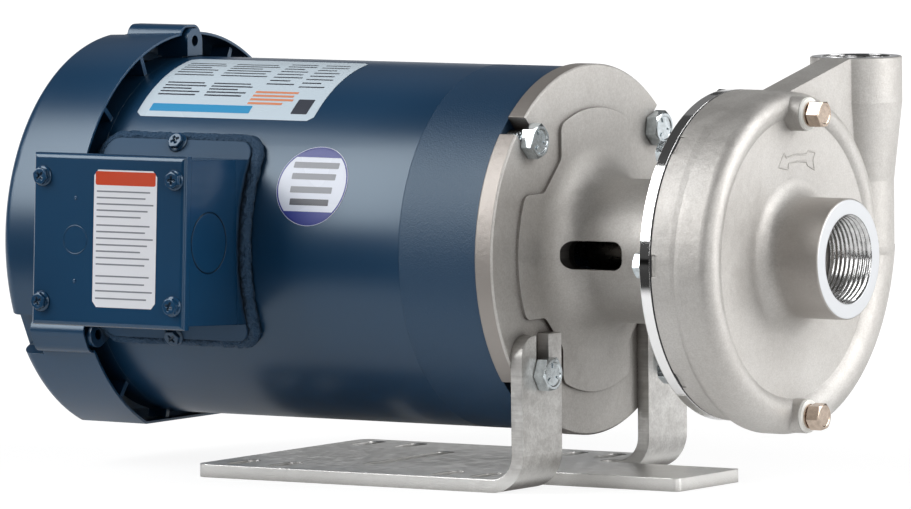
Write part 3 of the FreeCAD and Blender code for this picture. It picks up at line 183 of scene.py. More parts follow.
# Films and marks on the motor and the conduit box
film_lift = 0.12 * MM
ink_lift = 0.16 * MM
film_columns = 24
label_left = -204.0 * MM
label_right = -105.0 * MM
label_low = math.radians(180 - 135) * shell_radius
label_high = math.radians(180 - 97) * shell_radius
round_x = -92.8 * MM
round_arc = math.radians(180 - 158.0) * shell_radius
round_radius = 19.2 * MM
knockout_x = -18.3 * MM
knockout_radius = 6.5 * MM
dot_height = 19.0 * MM
dot_radius = 0.5 * MM

# Studio
lights_aim = Vector((-0.05, 0.0, 0.1))
floor_reach = 30.0
floor_drop = 0.0002
floor_glow = 1.12
shadow_middle = -0.05
shadow_inner = 0.30
shadow_outer = 0.60
shadow_share = 0.20
table_front = 0.25
front_glow = 0.35
world_glow = 0.06


def toward(azimuth, elevation):
    """Direction given in degrees: azimuth 0 is -Y and 90 is +X."""
    a = math.radians(azimuth)
    e = math.radians(elevation)
    return Vector((math.sin(a) * math.cos(e), -math.cos(a) * math.cos(e), math.sin(e)))


def make_camera():
    """Long lens on the photograph's line of sight, without shift."""
    data = bpy.data.cameras.new("camera")
    data.sensor_width = sensor_width
    data.lens = sensor_width * focal_pixels / image_width
    data.clip_start = 0.1
    data.clip_end = 100.0
    camera = bpy.data.objects.new("camera", data)
    bpy.context.scene.collection.objects.link(camera)
    back = toward(view_azimuth, view_elevation)
    turn = (-back).to_track_quat("-Z", "Y").to_matrix().to_4x4()
    roll = Matrix.Rotation(math.radians(view_roll), 4, "Z")
    camera.matrix_world = Matrix.Translation(view_target + back * view_distance) @ turn @ roll
    bpy.context.scene.camera = camera


# Shader graphs


class Graph:
    """Short way to write a material's nodes."""

    def __init__(self, name):
        self.material = bpy.data.materials.new(name)
        self.material.use_nodes = True
        self.tree = self.material.node_tree
        self.surface = self.tree.nodes["Principled BSDF"]
        self.place = self.tree.nodes.new("ShaderNodeTexCoord").outputs["Object"]

    def node(self, kind, **sockets):
        """Node with its sockets set or linked; an underscore stands for a space in a socket's name."""
        made = self.tree.nodes.new("ShaderNode" + kind)
        for name, value in sockets.items():
            self.plug(made, name.replace("_", " "), value)
        return made

    def plug(self, node, name, value):
        """Sets a socket to a value, or links it where the value is a socket."""
        socket = node.inputs[name]
        if isinstance(value, bpy.types.NodeSocket):
            self.tree.links.new(value, socket)
        else:
            socket.default_value = value

    def maths(self, operation, first, second=0.0):
        made = self.node("Math")
        made.operation = operation
        self.plug(made, 0, first)
        self.plug(made, 1, second)
        return made.outputs[0]

    def noise(self, scale, detail=3.0, roughness=0.55, place=None):
        made = self.node("TexNoise", Vector=place or self.place, Scale=scale, Detail=detail,
                         Roughness=roughness)
        return made.outputs["Fac"]

    def ramp(self, value, low, high, to_low=0.0, to_high=1.0):
        """Number that runs smoothly from one value to another between two limits."""
        made = self.node("MapRange", Value=value, From_Min=low, From_Max=high, To_Min=to_low, To_Max=to_high)
        made.interpolation_type = "SMOOTHSTEP"
        return made.outputs["Result"]

    def mix(self, factor, first, second):
        """Colour between two colours or sockets."""
        made = self.node("Mix")
        made.data_type = "RGBA"
        for index, value in ((0, factor), (6, first), (7, second)):
            self.plug(made, index, value)
        return made.outputs[2]

    def blend(self, factor, first, second):
        """Number between two numbers or sockets."""
        made = self.node("Mix")
        for index, value in ((0, factor), (2, first), (3, second)):
            self.plug(made, index, value)
        return made.outputs[0]

    def stretched(self, x, y, z):
        """Object place scaled by axis, for grain that runs one way."""
        made = self.node("Mapping", Vector=self.place, Scale=(x, y, z))
        return made.outputs["Vector"]

    def axes(self):
        return self.node("SeparateXYZ", Vector=self.place).outputs

    def radius_from(self, first, second, first_centre, second_centre):
        """Distance in a plane from a centre."""
        a = self.maths("SUBTRACT", first, first_centre)
        b = self.maths("SUBTRACT", second, second_centre)
        squares = self.maths("ADD", self.maths("MULTIPLY", a, a), self.maths("MULTIPLY", b, b))
        return self.maths("SQRT", squares)

    def beyond(self, value, middle, half):
        """How far a value lies outside a span, or 0 inside it."""
        past = self.maths("SUBTRACT", self.maths("ABSOLUTE", self.maths("SUBTRACT", value, middle)), half)
        return self.maths("MAXIMUM", past, 0.0)

    def above(self, value, limit, soft=0.00005, most=1.0):
        return self.ramp(value, limit - soft, limit + soft, 0.0, most)

    def below(self, value, limit, soft=0.00005):
        return self.ramp(value, limit - soft, limit + soft, 1.0, 0.0)

    def both(self, *masks):
        """Where all masks hold."""
        result = masks[0]
        for mask in masks[1:]:
            result = self.maths("MULTIPLY", result, mask)
        return result

    def either(self, *masks):
        """Where any mask holds."""
        result = masks[0]
        for mask in masks[1:]:
            result = self.maths("MAXIMUM", result, mask)
        return result

    def soft_edges(self, radius):
        """Normal that rounds sharp edges by a small radius."""
        made = self.node("Bevel", Radius=radius)
        made.samples = 6
        return made.outputs["Normal"]

    def crevices(self, distance):
        """1 in the open, less in corners narrower than a distance."""
        made = self.node("AmbientOcclusion", Distance=distance)
        made.samples = 6
        return made.outputs["AO"]

    def bump(self, height, distance, below=None, strength=1.0):
        made = self.node("Bump", Height=height, Distance=distance, Strength=strength)
        if below is not None:
            self.tree.links.new(below, made.inputs["Normal"])
        return made.outputs["Normal"]

    def finish(self, **sockets):
        for name, value in sockets.items():
            self.plug(self.surface, name.replace("_", " "), value)
        return self.material


def grey(value):
    return (value, value, value, 1.0)


def tint(red, green, blue):
    """Colour written as the 0 to 255 values that it shows as, turned to linear light."""
    def linear(v):
        v = v / 255
        return v / 12.92 if v <= 0.04045 else ((v + 0.055) / 1.055) ** 2.4
    return (linear(red), linear(green), linear(blue), 1.0)


def shade_of(colour, share):
    """Colour made darker or lighter by a share."""
    return tuple(min(1.0, share * c) for c in colour[:3]) + (1.0,)


navy = tint(14, 52, 82)
navy_pale = tint(18, 60, 93)


def enamel(name, roughness, grain_scale=None, grain_depth=0.0, specks=0.0):
    """Navy enamel with slowly varying tone and gloss, and painted shade darkening its crevices; where asked for, a
    pebbled grain with pale specks.
    """
    g = Graph(name)
    cloud = g.noise(9.0, 0.0)
    colour = g.mix(g.ramp(cloud, 0.35, 0.7), navy, navy_pale)
    if specks:
        speck = g.ramp(g.noise(1700.0, 2.0), 0.70, 0.76, 0.0, specks)
        colour = g.mix(speck, colour, tint(92, 128, 160))
    # Painted shade: the colour runs to deep navy where ambient occlusion finds crevices and gaps.
    corners = g.ramp(g.crevices(0.025), 0.15, 0.80)
    colour = g.mix(corners, shade_of(navy, 0.22), colour)
    gloss = g.ramp(g.noise(16.0, 0.0), 0.3, 0.7, roughness - 0.01, roughness + 0.03)
    axes = g.axes()
    radius = g.radius_from(axes["Y"], axes["Z"], 0.0, shaft_z)
    saddle = g.both(g.above(radius, saddle_low), g.below(radius, saddle_high),
                    g.above(axes["X"], saddle_rear), g.below(axes["Y"], saddle_side))
    gloss = g.blend(saddle, gloss, 0.66)
    box = g.both(g.below(axes["Y"], box_side), g.above(axes["X"], box_rear))
    gloss = g.blend(box, gloss, 0.22)
    normal = g.soft_edges(0.0005)
    if grain_scale:
        normal = g.bump(g.noise(grain_scale, 3.0, 0.6), grain_depth, normal)
    return g.finish(Base_Color=colour, Roughness=gloss, Normal=normal, Specular_IOR_Level=0.80,
                    Specular_Tint=(0.78, 0.91, 1.0, 1.0))


def castings(name):
    """Bead-blasted stainless casting with stains, pits and machined rims, faces and mouths; shade in its crevices
    and inside the adapter's neck is painted into the colour, and the satin parts' darker colour is partly a
    painted reflection.
    """
    g = Graph(name)
    axes = g.axes()
    radius = g.radius_from(axes["Y"], axes["Z"], 0.0, shaft_z)
    from_riser = g.radius_from(axes["X"], axes["Y"], discharge.x, discharge.y)
    ring = g.both(g.above(axes["X"], disc_back + 0.1 * MM), g.below(axes["X"], disc_front + 0.2 * MM),
                  g.above(radius, disc_rim), g.below(radius, disc_rim + 1.0 * MM))
    mouths = g.either(g.above(axes["X"], suction_x - 0.1 * MM),
                      g.both(g.above(axes["Z"], discharge.z - 0.1 * MM), g.below(from_riser, riser_reach)))
    flange = g.both(g.below(axes["X"], flange_front - 0.9 * MM), g.above(radius, flange_land))
    stain = g.ramp(g.noise(20.0, 4.0, 0.6), 0.30, 0.76)
    colour = g.mix(stain, tint(190, 187, 183), tint(206, 204, 201))
    mottle = g.ramp(g.noise(300.0, 4.0, 0.7), 0.3, 0.7)
    colour = g.mix(g.maths("MULTIPLY", mottle, 0.25), colour, tint(218, 216, 212))
    grit = g.ramp(g.noise(1300.0, 2.0), 0.32, 0.68, 0.0, 0.20)
    colour = g.mix(grit, colour, tint(140, 132, 124))
    # Painted shade: dark brown in crevices and hollows by ambient occlusion, held weaker on the casing in front of
    # the adapter's disc.
    corners = g.either(g.ramp(g.crevices(0.030), 0.12, 0.95), g.above(axes["X"], disc_front, 0.5 * MM, 0.78))
    colour = g.mix(corners, tint(70, 61, 56), colour)
    # The flange rim and the suction hub are satin machined, a real finish; their darker colour is also a painted
    # darker reflection.
    hub = g.both(g.above(axes["X"], casing_face + 9.0 * MM, 6.0 * MM), g.below(radius, hub_reach, 6.0 * MM))
    satin_and_dark_reflection = g.either(flange, g.maths("MULTIPLY", hub, 0.8))
    colour = g.mix(satin_and_dark_reflection, colour, tint(164, 158, 153))
    # Painted shade: the neck's bore and the walls within its windows are coloured near black.
    inside = g.both(g.above(axes["X"], 1.0 * MM), g.below(axes["X"], disc_back - 4.0 * MM),
                    g.below(radius, neck_inside))
    from_window = g.radius_from(g.beyond(axes["X"], window_middle, window_flat),
                                g.beyond(axes["Z"], shaft_z, window_upright), 0.0, 0.0)
    window = g.both(g.below(from_window, window_corner), g.below(radius, neck_reach))
    colour = g.mix(g.either(inside, window), colour, tint(30, 28, 26))
    colour = g.mix(mouths, colour, tint(214, 216, 219))
    colour = g.mix(ring, colour, tint(250, 250, 250))
    rough = g.ramp(g.noise(80.0), 0.3, 0.7, 0.46, 0.56)
    rough = g.blend(satin_and_dark_reflection, rough, 0.44)
    rough = g.blend(mouths, rough, 0.36)
    rough = g.blend(ring, rough, 0.07)
    machined = g.either(ring, mouths)
    blasted = g.blend(machined, 1.0, 0.03)
    blast = g.bump(g.noise(2600.0, 2.0, 0.6), 0.00010, g.soft_edges(0.0006), blasted)
    normal = g.bump(g.noise(170.0, 3.0), 0.00030, blast, blasted)
    return g.finish(Base_Color=colour, Metallic=g.blend(machined, 0.66, 1.0), Roughness=rough, Normal=normal)


def rolled_plate(name):
    """Hot-rolled stainless plate: mottled, with faint streaks along its length; its lowest part is paler and its
    corners darker, both painted light and shade.
    """
    g = Graph(name)
    mottle = g.ramp(g.noise(150.0, 4.0, 0.65), 0.3, 0.7)
    streak = g.ramp(g.noise(900.0, 3.0, place=g.stretched(0.05, 1.0, 1.0)), 0.35, 0.7)
    colour = g.mix(mottle, tint(200, 198, 195), tint(224, 223, 220))
    colour = g.mix(g.maths("MULTIPLY", streak, 0.35), colour, tint(168, 164, 160))
    # Painted light: paler within about the lowest 8 mm than higher up.
    colour = g.mix(g.below(g.axes()["Z"], 8.0 * MM, 4.0 * MM), colour, tint(238, 237, 234))
    # Painted shade: darker brown in corners, slots and gaps by ambient occlusion.
    corners = g.ramp(g.crevices(0.008), 0.15, 0.85)
    colour = g.mix(corners, tint(92, 85, 78), colour)
    rough = g.ramp(g.noise(240.0), 0.3, 0.7, 0.30, 0.42)
    grain = g.bump(g.noise(1400.0, 3.0, 0.6), 0.00008, g.soft_edges(0.0007))
    wave = g.bump(g.noise(120.0, 2.0), 0.00022, grain)
    return g.finish(Base_Color=colour, Metallic=0.75, Roughness=rough, Normal=wave)


def plated(name, colour, roughness, scale=420.0, edge=0.00015):
    """Bright plated or machined metal with slight unevenness."""
    g = Graph(name)
    cloud = g.ramp(g.noise(scale, 3.0), 0.3, 0.7)
    shade = g.mix(cloud, shade_of(colour, 0.78), colour)
    rough = g.ramp(g.noise(scale * 2, 2.0), 0.3, 0.7, roughness * 0.8, roughness * 1.3)
    fine = g.bump(g.noise(scale * 6, 2.0), 0.00002, g.soft_edges(edge))
    return g.finish(Base_Color=shade, Metallic=1.0, Roughness=rough, Normal=fine)


def plain(name, colour, roughness, scale=300.0, depth=0.00005):
    """Moulded plastic, rubber, ceramic or fibre with a fine grain."""
    g = Graph(name)
    cloud = g.ramp(g.noise(scale * 0.3, 3.0), 0.3, 0.7)
    shade = g.mix(cloud, colour, shade_of(colour, 1.3))
    rough = g.ramp(g.noise(scale, 2.0), 0.3, 0.7, roughness * 0.9, min(1.0, roughness * 1.1))
    grain = g.bump(g.noise(scale * 5, 2.0), depth, g.soft_edges(0.0003))
    return g.finish(Base_Color=shade, Roughness=rough, Normal=grain)


def printed(name, colour, roughness=0.35):
    """Ink or vinyl film: nearly even, with slight fading and uneven gloss."""
    g = Graph(name)
    cloud = g.noise(30.0, 0.0)
    shade = g.mix(g.ramp(cloud, 0.3, 0.7, 0.0, 0.3), colour, shade_of(colour, 0.9))
    rough = g.ramp(cloud, 0.3, 0.7, roughness - 0.03, roughness + 0.03)
    return g.finish(Base_Color=shade, Roughness=rough)


def make_materials():
    return {
        "motor_paint": enamel("motor_paint", 0.30),
        "endbell_paint": enamel("endbell_paint", 0.44, 1300.0, 0.00016, 0.35),
        "painted_screws": enamel("painted_screws", 0.28),
        "foam_paint": enamel("foam_paint", 0.48, 620.0, 0.0022, 0.8),
        "cast_stainless": castings("cast_stainless"),
        "base_stainless": rolled_plate("base_stainless"),
        "plug_stainless": plated("plug_stainless", tint(206, 188, 172), 0.20),
        "cut_stainless": plated("cut_stainless", tint(228, 228, 228), 0.18),
        "sleeve_stainless": plated("sleeve_stainless", tint(150, 144, 138), 0.32),
        "zinc_steel": plated("zinc_steel", tint(214, 222, 226), 0.16),
        "bearing_steel": plated("bearing_steel", tint(220, 220, 222), 0.12),
        "shaft_steel": plated("shaft_steel", tint(190, 190, 190), 0.28),
        "core_steel": plated("core_steel", tint(120, 120, 122), 0.50),
        "winding_copper": plated("winding_copper", tint(184, 104, 62), 0.45),
        "cast_aluminium": plated("cast_aluminium", tint(205, 206, 208), 0.45),
        "brass": plated("brass", tint(214, 178, 98), 0.28),
        "black_screws": plated("black_screws", tint(52, 52, 54), 0.35),
        "washer_white": plain("washer_white", tint(222, 222, 218), 0.4),
        "gasket_fibre": plain("gasket_fibre", tint(58, 58, 60), 0.8),
        "black_rubber": plain("black_rubber", tint(26, 26, 27), 0.7),
        "seal_ceramic": plain("seal_ceramic", tint(232, 228, 214), 0.25),
        "seal_carbon": plain("seal_carbon", tint(38, 38, 40), 0.35),
        "fan_plastic": plain("fan_plastic", tint(30, 30, 33), 0.55),
        "board_plastic": plain("board_plastic", tint(60, 50, 44), 0.5),
        "ground_green": plated("ground_green", tint(40, 130, 66), 0.30),
    }


def dress(materials):
    """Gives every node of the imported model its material."""
    for name, node in frame["nodes"].items():
        node.data.materials.clear()
        node.data.materials.append(materials[slot_of[name]])


# Pieces


def add_piece(name, points, faces, material, crease=35.0, bevel=0.0):
    """Links a mesh, shades it, gives it its finish and lets it ride on the fixed body."""
    mesh = bpy.data.meshes.new(name)
    mesh.from_pydata([tuple(p) for p in points], [], faces)
    mesh.validate()
    for polygon in mesh.polygons:
        polygon.use_smooth = True
    mesh.set_sharp_from_angle(angle=math.radians(crease))
    mesh.materials.append(material)
    piece = bpy.data.objects.new(name, mesh)
    bpy.context.scene.collection.objects.link(piece)
    if bevel > 0:
        rounding = piece.modifiers.new("edges", "BEVEL")
        rounding.width = bevel
        rounding.segments = 2
        rounding.limit_method = "ANGLE"
        rounding.angle_limit = math.radians(crease)
    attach(piece, "root")
    return piece


def skin(rings, first_cap=True, last_cap=True):
    """Joins rings of equal length into one surface."""
    count = len(rings[0])
    points = [p for ring in rings for p in ring]
    faces = []
    for i in range(len(rings) - 1):
        for j in range(count):
            k = (j + 1) % count
            faces.append((i * count + j, i * count + k, (i + 1) * count + k, (i + 1) * count + j))
    if first_cap:
        faces.append(tuple(reversed(range(count))))
    if last_cap:
        faces.append(tuple(range((len(rings) - 1) * count, len(rings) * count)))
    return points, faces


class Turning:
    """Surface about one axis, given as (place along it, radius) rings, either of which may vary by angle."""

    def __init__(self, origin, axis, zero, steps=72):
        self.origin = Vector(origin)
        self.axis = Vector(axis).normalized()
        self.zero = Vector(zero).normalized()
        self.side = self.axis.cross(self.zero)
        self.steps = steps
        self.rings = []

    def point(self, along, radius, angle):
        return (self.origin + self.axis * along + self.zero * (radius * math.cos(angle))
                + self.side * (radius * math.sin(angle)))

    def ring(self, along, radius):
        made = []
        for i in range(self.steps):
            angle = 2 * math.pi * i / self.steps
            a = along(angle) if callable(along) else along
            r = radius(angle) if callable(radius) else radius
            made.append(self.point(a, r, angle))
        self.rings.append(made)


def hex_radius(angle, across):
    """Distance from a hexagon's centre to its side, with a corner at angle 0."""
    return across / 2 / math.cos(angle % (math.pi / 3) - math.pi / 6)


def thread_radius(along, angle, outer, depth, pitch):
    """Radius of a right-hand thread with flattened crests and roots."""
    phase = (along / pitch - angle / (2 * math.pi)) % 1.0
    wave = 1.35 * (1 - abs(2 * phase - 1)) - 0.15
    return outer - depth * (1 - min(1.0, max(0.0, wave)))


def hex_rings(turning, start, across, height, dish):
    """Washer face, sides, chamfer and shallow dish of a hex head."""
    flat = head_flat * across
    slope = math.tan(head_chamfer)
    turning.ring(start, 0.9 * flat)
    turning.ring(start, flat)
    turning.ring(start + head_washer, flat)
    turning.ring(start + head_washer, lambda a: hex_radius(a, across))
    turning.ring(lambda a: start + height - (hex_radius(a, across) - flat) * slope,
                 lambda a: hex_radius(a, across))
    turning.ring(start + height, flat)
    turning.ring(start + height, 0.86 * flat)
    turning.ring(start + height - dish, 0.78 * flat)
    turning.ring(start + height - dish, 0.3 * flat)


def bolt_marks(name, turning, top, across, angles, material):
    """Short raised strokes on a bolt's head, evenly spread."""
    points = []
    faces = []
    for angle in angles:
        base = len(points)
        half = mark_half * across
        for radius in (mark_from * across, mark_to * across):
            for side in (-half, half):
                for along in (top - mark_root, top + mark_rise):
                    centre = turning.point(along, radius, angle)
                    across_way = turning.side * math.cos(angle) - turning.zero * math.sin(angle)
                    points.append(centre + across_way * side)
        for quad in ((0, 1, 3, 2), (4, 6, 7, 5), (0, 4, 5, 1), (2, 3, 7, 6), (1, 5, 7, 3), (0, 2, 6, 4)):
            faces.append(tuple(base + q for q in quad))
    return add_piece(name, points, faces, material, bevel=0.08 * MM)


def hex_bolt(name, origin, axis, zero, sizes, material):
    """Bolt with its seat at the origin, its head along the axis and a rolled thread below."""
    across, height, radius, pitch, length = sizes
    turning = Turning(origin, axis, zero)
    steps = int(length / pitch * 6)
    depth = 0.55 * pitch
    for i in range(steps + 1):
        along = -length * (1 - i / steps)
        turning.ring(along, lambda a: thread_radius(along, a, radius, depth, pitch))
    hex_rings(turning, 0.0, across, height, 0.035 * across)
    points, faces = skin(turning.rings)
    bolt = add_piece(name, points, faces, material, crease=24.0)
    marks = [math.radians(a) for a in (90, 210, 330)]
    bolt_marks(name + "_marks", turning, height, across, marks, material)
    return bolt


def outward(angle):
    """Direction away from the shaft at an angle in radians."""
    return Vector((0, math.cos(angle), math.sin(angle)))


def direction(degrees):
    """Direction away from the shaft at an angle in degrees."""
    return outward(math.radians(degrees))


def around_shaft(x, radius, degrees):
    """Point at one angle about the shaft."""
    return Vector((x, 0, shaft_z)) + direction(degrees) * radius


def make_face_bolts(materials):
    """Four C-face bolts. The corner that each head turns up follows the photograph."""
    zinc = materials["zinc_steel"]
    places = {"adapter_bolt_far": (45, flange_front, 20), "adapter_bolt_near": (135, flange_front, 18),
              "base_bolt_near": (225, leg_front, 4), "base_bolt_far": (315, leg_front, 11)}
    for name, (angle, seat, corner) in places.items():
        origin = around_shaft(seat, face_bolt_reach, angle)
        sizes = (face_bolt_across, face_bolt_head, face_bolt_radius, face_bolt_pitch, seat + face_bolt_grip)
        hex_bolt(name, origin, (1, 0, 0), direction(corner), sizes, zinc)
    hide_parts("adapter_bolts")
    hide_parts("base_bolts")


def make_casing_bolts(materials):
    """Ring of bolts behind the adapter's disc, heads towards the motor."""
    sizes = (casing_bolt_across, casing_bolt_head, casing_bolt_radius, casing_bolt_pitch, casing_bolt_length)
    for i in range(casing_bolt_count):
        origin = around_shaft(disc_back, casing_bolt_reach, 360 * i / casing_bolt_count)
        bolt = hex_bolt("casing_bolt_%d" % i, origin, (-1, 0, 0), direction(17 * i), sizes,
                        materials["zinc_steel"])
    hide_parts("casing_bolts")


def cross_recess(across, along):
    """Depth of a cross-shaped driver recess at one place on a screw's head."""
    reach = max(abs(across), abs(along))
    side = min(abs(across), abs(along))

    def fall(value, limit, soft):
        share = min(1.0, max(0.0, (limit + soft - value) / (2 * soft)))
        return share * share * (3 - 2 * share)

    slot = fall(side, cross_half, 0.12 * MM) * fall(reach, cross_reach, 0.25 * MM)
    return cross_depth * slot * (1 - 0.35 * reach / cross_reach)


def washer_screw(name, origin, axis, zero, material):
    """Hex washer-head screw with a cross recess; its seat is at the origin."""
    turning = Turning(origin, axis, zero)
    flat = head_flat * screw_across
    slope = math.tan(screw_chamfer)
    turning.ring(-screw_length, 0.5 * screw_radius)
    turning.ring(1.5 * MM - screw_length, screw_radius)
    turning.ring(0.0, screw_radius)
    turning.ring(0.0, screw_flange - 0.2 * MM)
    turning.ring(0.3 * screw_collar, screw_flange)
    turning.ring(0.7 * screw_collar, screw_flange - 0.1 * MM)
    turning.ring(1.15 * screw_collar, 1.02 * screw_across / 2 / math.cos(math.pi / 6))
    turning.ring(1.35 * screw_collar, lambda a: hex_radius(a, screw_across))
    turning.ring(lambda a: screw_head - (hex_radius(a, screw_across) - flat) * slope,
                 lambda a: hex_radius(a, screw_across))
    turning.ring(screw_head, flat)
    rings = 16
    top = 0.92 * flat
    for i in range(rings):
        radius = top * (1 - i / rings)
        turning.ring(lambda a: screw_head - cross_recess(radius * math.cos(a), radius * math.sin(a)), radius)
    points, faces = skin(turning.rings)
    return add_piece(name, points, faces, material, crease=40.0)


def box_way(x, y, z):
    """Direction given square to the conduit box, turned to the box's tilt about the shaft."""
    return Matrix.Rotation(box_tilt, 3, "X") @ Vector((x, y, z))


def on_box(x, y, z):
    """Point given square to the conduit box."""
    return box_way(x, y, z) + Vector((0, 0, shaft_z))


def make_screws(materials):
    """Screws of the box cover, the saddle and the fan cover."""
    paint = materials["painted_screws"]
    turn = 0
    for side_x in (-1, 1):
        for side_z in (-1, 1):
            turn += 1
            spin = math.radians(23 * turn)
            origin = on_box(box_middle + side_x * box_screw_x, box_front, side_z * box_screw_z)
            screw = washer_screw("box_screw_%d" % turn, origin, box_way(0, -1, 0),
                                 box_way(math.cos(spin), 0, math.sin(spin)), paint)
    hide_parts("box_cover_screws")
    for side in (-1, 1):
        out = outward(math.pi + box_tilt + side * saddle_screw_angle)
        origin = Vector((saddle_screw_x, 0, shaft_z)) + out * saddle_outer
        corner = Vector((0.8, 0, 0.6)).cross(out)
        screw = washer_screw("saddle_screw_%d" % (side + 2), origin, out, corner, paint)
    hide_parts("saddle_screws")
    for i, angle in enumerate(cover_screw_angles):
        origin = around_shaft(cover_screw_x, cover_screw_reach, angle)
        screw = washer_screw("cover_screw_%d" % i, origin, (-1, 0, 0), direction(31 * i), paint)
    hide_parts("fan_cover_screws")


def make_plugs(materials):
    """Vent and drain plugs: a turned neck under a hex head."""
    for name, height in plug_heights.items():
        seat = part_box(name)[1][0] - plug_hex - plug_neck
        origin = Vector((seat, 0, shaft_z + height))
        turning = Turning(origin, (1, 0, 0), direction(plug_turns[name]))
        turning.ring(-plug_tail, plug_shank_radius)
        turning.ring(0.0, plug_shank_radius)
        turning.ring(0.0, plug_collar_radius)
        turning.ring(0.7 * MM, plug_collar_radius)
        turning.ring(0.9 * MM, plug_neck_radius)
        turning.ring(plug_neck, plug_neck_radius)
        hex_rings(turning, plug_neck, plug_across, plug_hex, 0.25 * MM)
        points, faces = skin(turning.rings)
        plug = add_piece("turned_" + name, points, faces, materials["plug_stainless"],
                         crease=24.0)
        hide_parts(name)


def port_thread(name, mouth, axis, zero, wall, material):
    """Tapered pipe thread inside a port, from its countersunk mouth inwards."""
    turning = Turning(mouth, axis, zero, 120)
    per_turn = 8
    steps = int(port_depth / pipe_pitch * per_turn)
    sink = 1.2 * MM
    turning.ring(0.0, wall - wall_tuck)
    for i in range(steps + 1):
        along = -port_depth * i / steps
        crest = wall - pipe_thread + along * pipe_taper

        def radius(angle):
            root = crest + pipe_thread
            depth = pipe_thread - 0.03 * MM + along * pipe_taper
            inner = 2 * crest + pipe_thread - thread_radius(along, angle, root, depth, pipe_pitch)
            return max(inner, wall - wall_tuck + along) if along > -sink else inner
        turning.ring(along - wall_tuck, radius)
    turning.ring(-port_depth - 0.3 * MM, wall - wall_tuck)
    points, faces = skin(turning.rings, False, False)
    return add_piece(name, points, faces, material, crease=50.0)


def make_port_threads(materials):
    cut = materials["cut_stainless"]
    port_thread("suction_thread", (suction_x, 0, shaft_z), (1, 0, 0), (0, 0, 1), suction_wall, cut)
    port_thread("discharge_thread", discharge, (0, 0, 1), (1, 0, 0), discharge_wall, cut)


def make_foam_bead(materials):
    """Lumpy bead of foam squeezed out round the saddle of the conduit box."""
    corner = saddle_corner + bead_offset
    half_x = saddle_half_length + bead_offset
    half_arc = saddle_half_angle * shell_radius + bead_offset
    centre_radius = shell_radius + bead_rise
    path = []
    for sx, sz, start in ((1, 1, 0), (-1, 1, 90), (-1, -1, 180), (1, -1, 270)):
        for i in range(9):
            angle = math.radians(start + 90 * i / 8)
            path.append((sx * (half_x - corner) + corner * math.cos(angle),
                         sz * (half_arc - corner) + corner * math.sin(angle)))
    route = []
    for i, (x, arc) in enumerate(path):
        nx, narc = path[(i + 1) % len(path)]
        count = max(1, int(math.hypot(nx - x, narc - arc) / bead_step))
        for j in range(count):
            share = j / count
            route.append((x + (nx - x) * share, arc + (narc - arc) * share))
    rings = []
    for i, (x, arc) in enumerate(route):
        nx, narc = route[(i + 1) % len(route)]
        along = Vector((nx - x, narc - arc)).normalized()
        angle = math.pi + box_tilt - arc / shell_radius
        out = outward(angle)
        round_way = Vector((0, math.sin(angle), -math.cos(angle)))
        side = Vector((1, 0, 0)) * along.y - round_way * along.x
        centre = Vector((box_middle + x, 0, shaft_z)) + out * centre_radius
        ring = []
        for k in range(20):
            a = 2 * math.pi * k / 20
            way = side * math.cos(a) + out * math.sin(a)
            lump = field.noise((centre + way * bead_radius) * 420) * 0.55
            lump += field.noise((centre + way) * 90) * 0.3
            ring.append(centre + way * bead_radius * (1 + 0.45 * lump))
        rings.append(ring)
    rings.append(rings[0])
    points, faces = skin(rings, False, False)
    add_piece("foam_bead", points, faces, materials["foam_paint"], crease=180.0)


# Labels: flat or curved films, with each inked area a little above the sheet


def grid_faces(rows, columns):
    """Quads of a grid whose points run along its rows."""
    faces = []
    for i in range(rows):
        for j in range(columns):
            a = i * (columns + 1) + j
            faces.append((a, a + 1, a + columns + 2, a + columns + 1))
    return faces


def add_film(name, points, faces, ink):
    return add_piece(name, points, faces, ink, crease=180.0)


def film(name, place, outline, ink, lift):
    """Sheet with rounded corners; the outline is its left, right, low and high limits and its corners."""
    low_u, high_u, low_v, high_v, corner = outline
    points = []
    for i in range(film_columns + 1):
        v = low_v + (high_v - low_v) * i / film_columns
        inset = 0.0
        edge = min(v - low_v, high_v - v)
        if edge < corner:
            inset = corner - math.sqrt(max(0.0, corner * corner - (corner - edge) ** 2))
        for j in range(film_columns + 1):
            u = low_u + inset + (high_u - low_u - 2 * inset) * j / film_columns
            points.append(place(u, v, lift))
    return add_film(name, points, grid_faces(film_columns, film_columns), ink)


def on_cover(u, v, lift):
    """Place on the front of the conduit box's cover."""
    return on_box(box_middle + u, box_front - lift, v)


def on_shell(u, v, lift):
    """Place on the motor's shell: u along the shaft, v round it, upwards from the near side."""
    return Vector((u, 0, shaft_z)) + outward(math.pi - v / shell_radius) * (shell_radius + lift)


def rule_lines(name, place, limits, count, thick, ink, lengths):
    """Rows of thin bars of uneven length, within left, right, low and high limits."""
    low_u, high_u, low_v, high_v = limits
    cells = 8
    points = []
    faces = []
    for i in range(count):
        v = high_v - (high_v - low_v) * (i + 0.5) / count
        reach = (high_u - low_u) * lengths[i % len(lengths)]
        base = len(points)
        for j in range(cells + 1):
            for side in (-thick / 2, thick / 2):
                points.append(place(low_u + reach * j / cells, v + side, ink_lift))
        for j in range(cells):
            a = base + 2 * j
            faces.append((a, a + 2, a + 3, a + 1))
    return add_film(name, points, faces, ink)


def make_box_label(inks):
    """White sheet on the box's cover with an orange band and three blocks of grey rows."""
    film("box_label", on_cover, mm(-8, 27, -30.4, 32.4, 2.2), inks["white"], film_lift)
    film("box_label_band", on_cover, mm(-7.2, 26.2, 25.4, 31.7, 1.0), inks["orange"], ink_lift)
    blocks = (("upper", 24.0, 9.6, 5), ("middle", 8.6, -12.2, 7), ("lower", -14.4, -28.0, 4))
    for name, high, low, count in blocks:
        rule_lines("box_label_" + name, on_cover, mm(-6.4, 25.2, low, high), count, 0.7 * MM, inks["grey"],
                   (0.94, 0.86, 1.0, 0.9, 0.78))


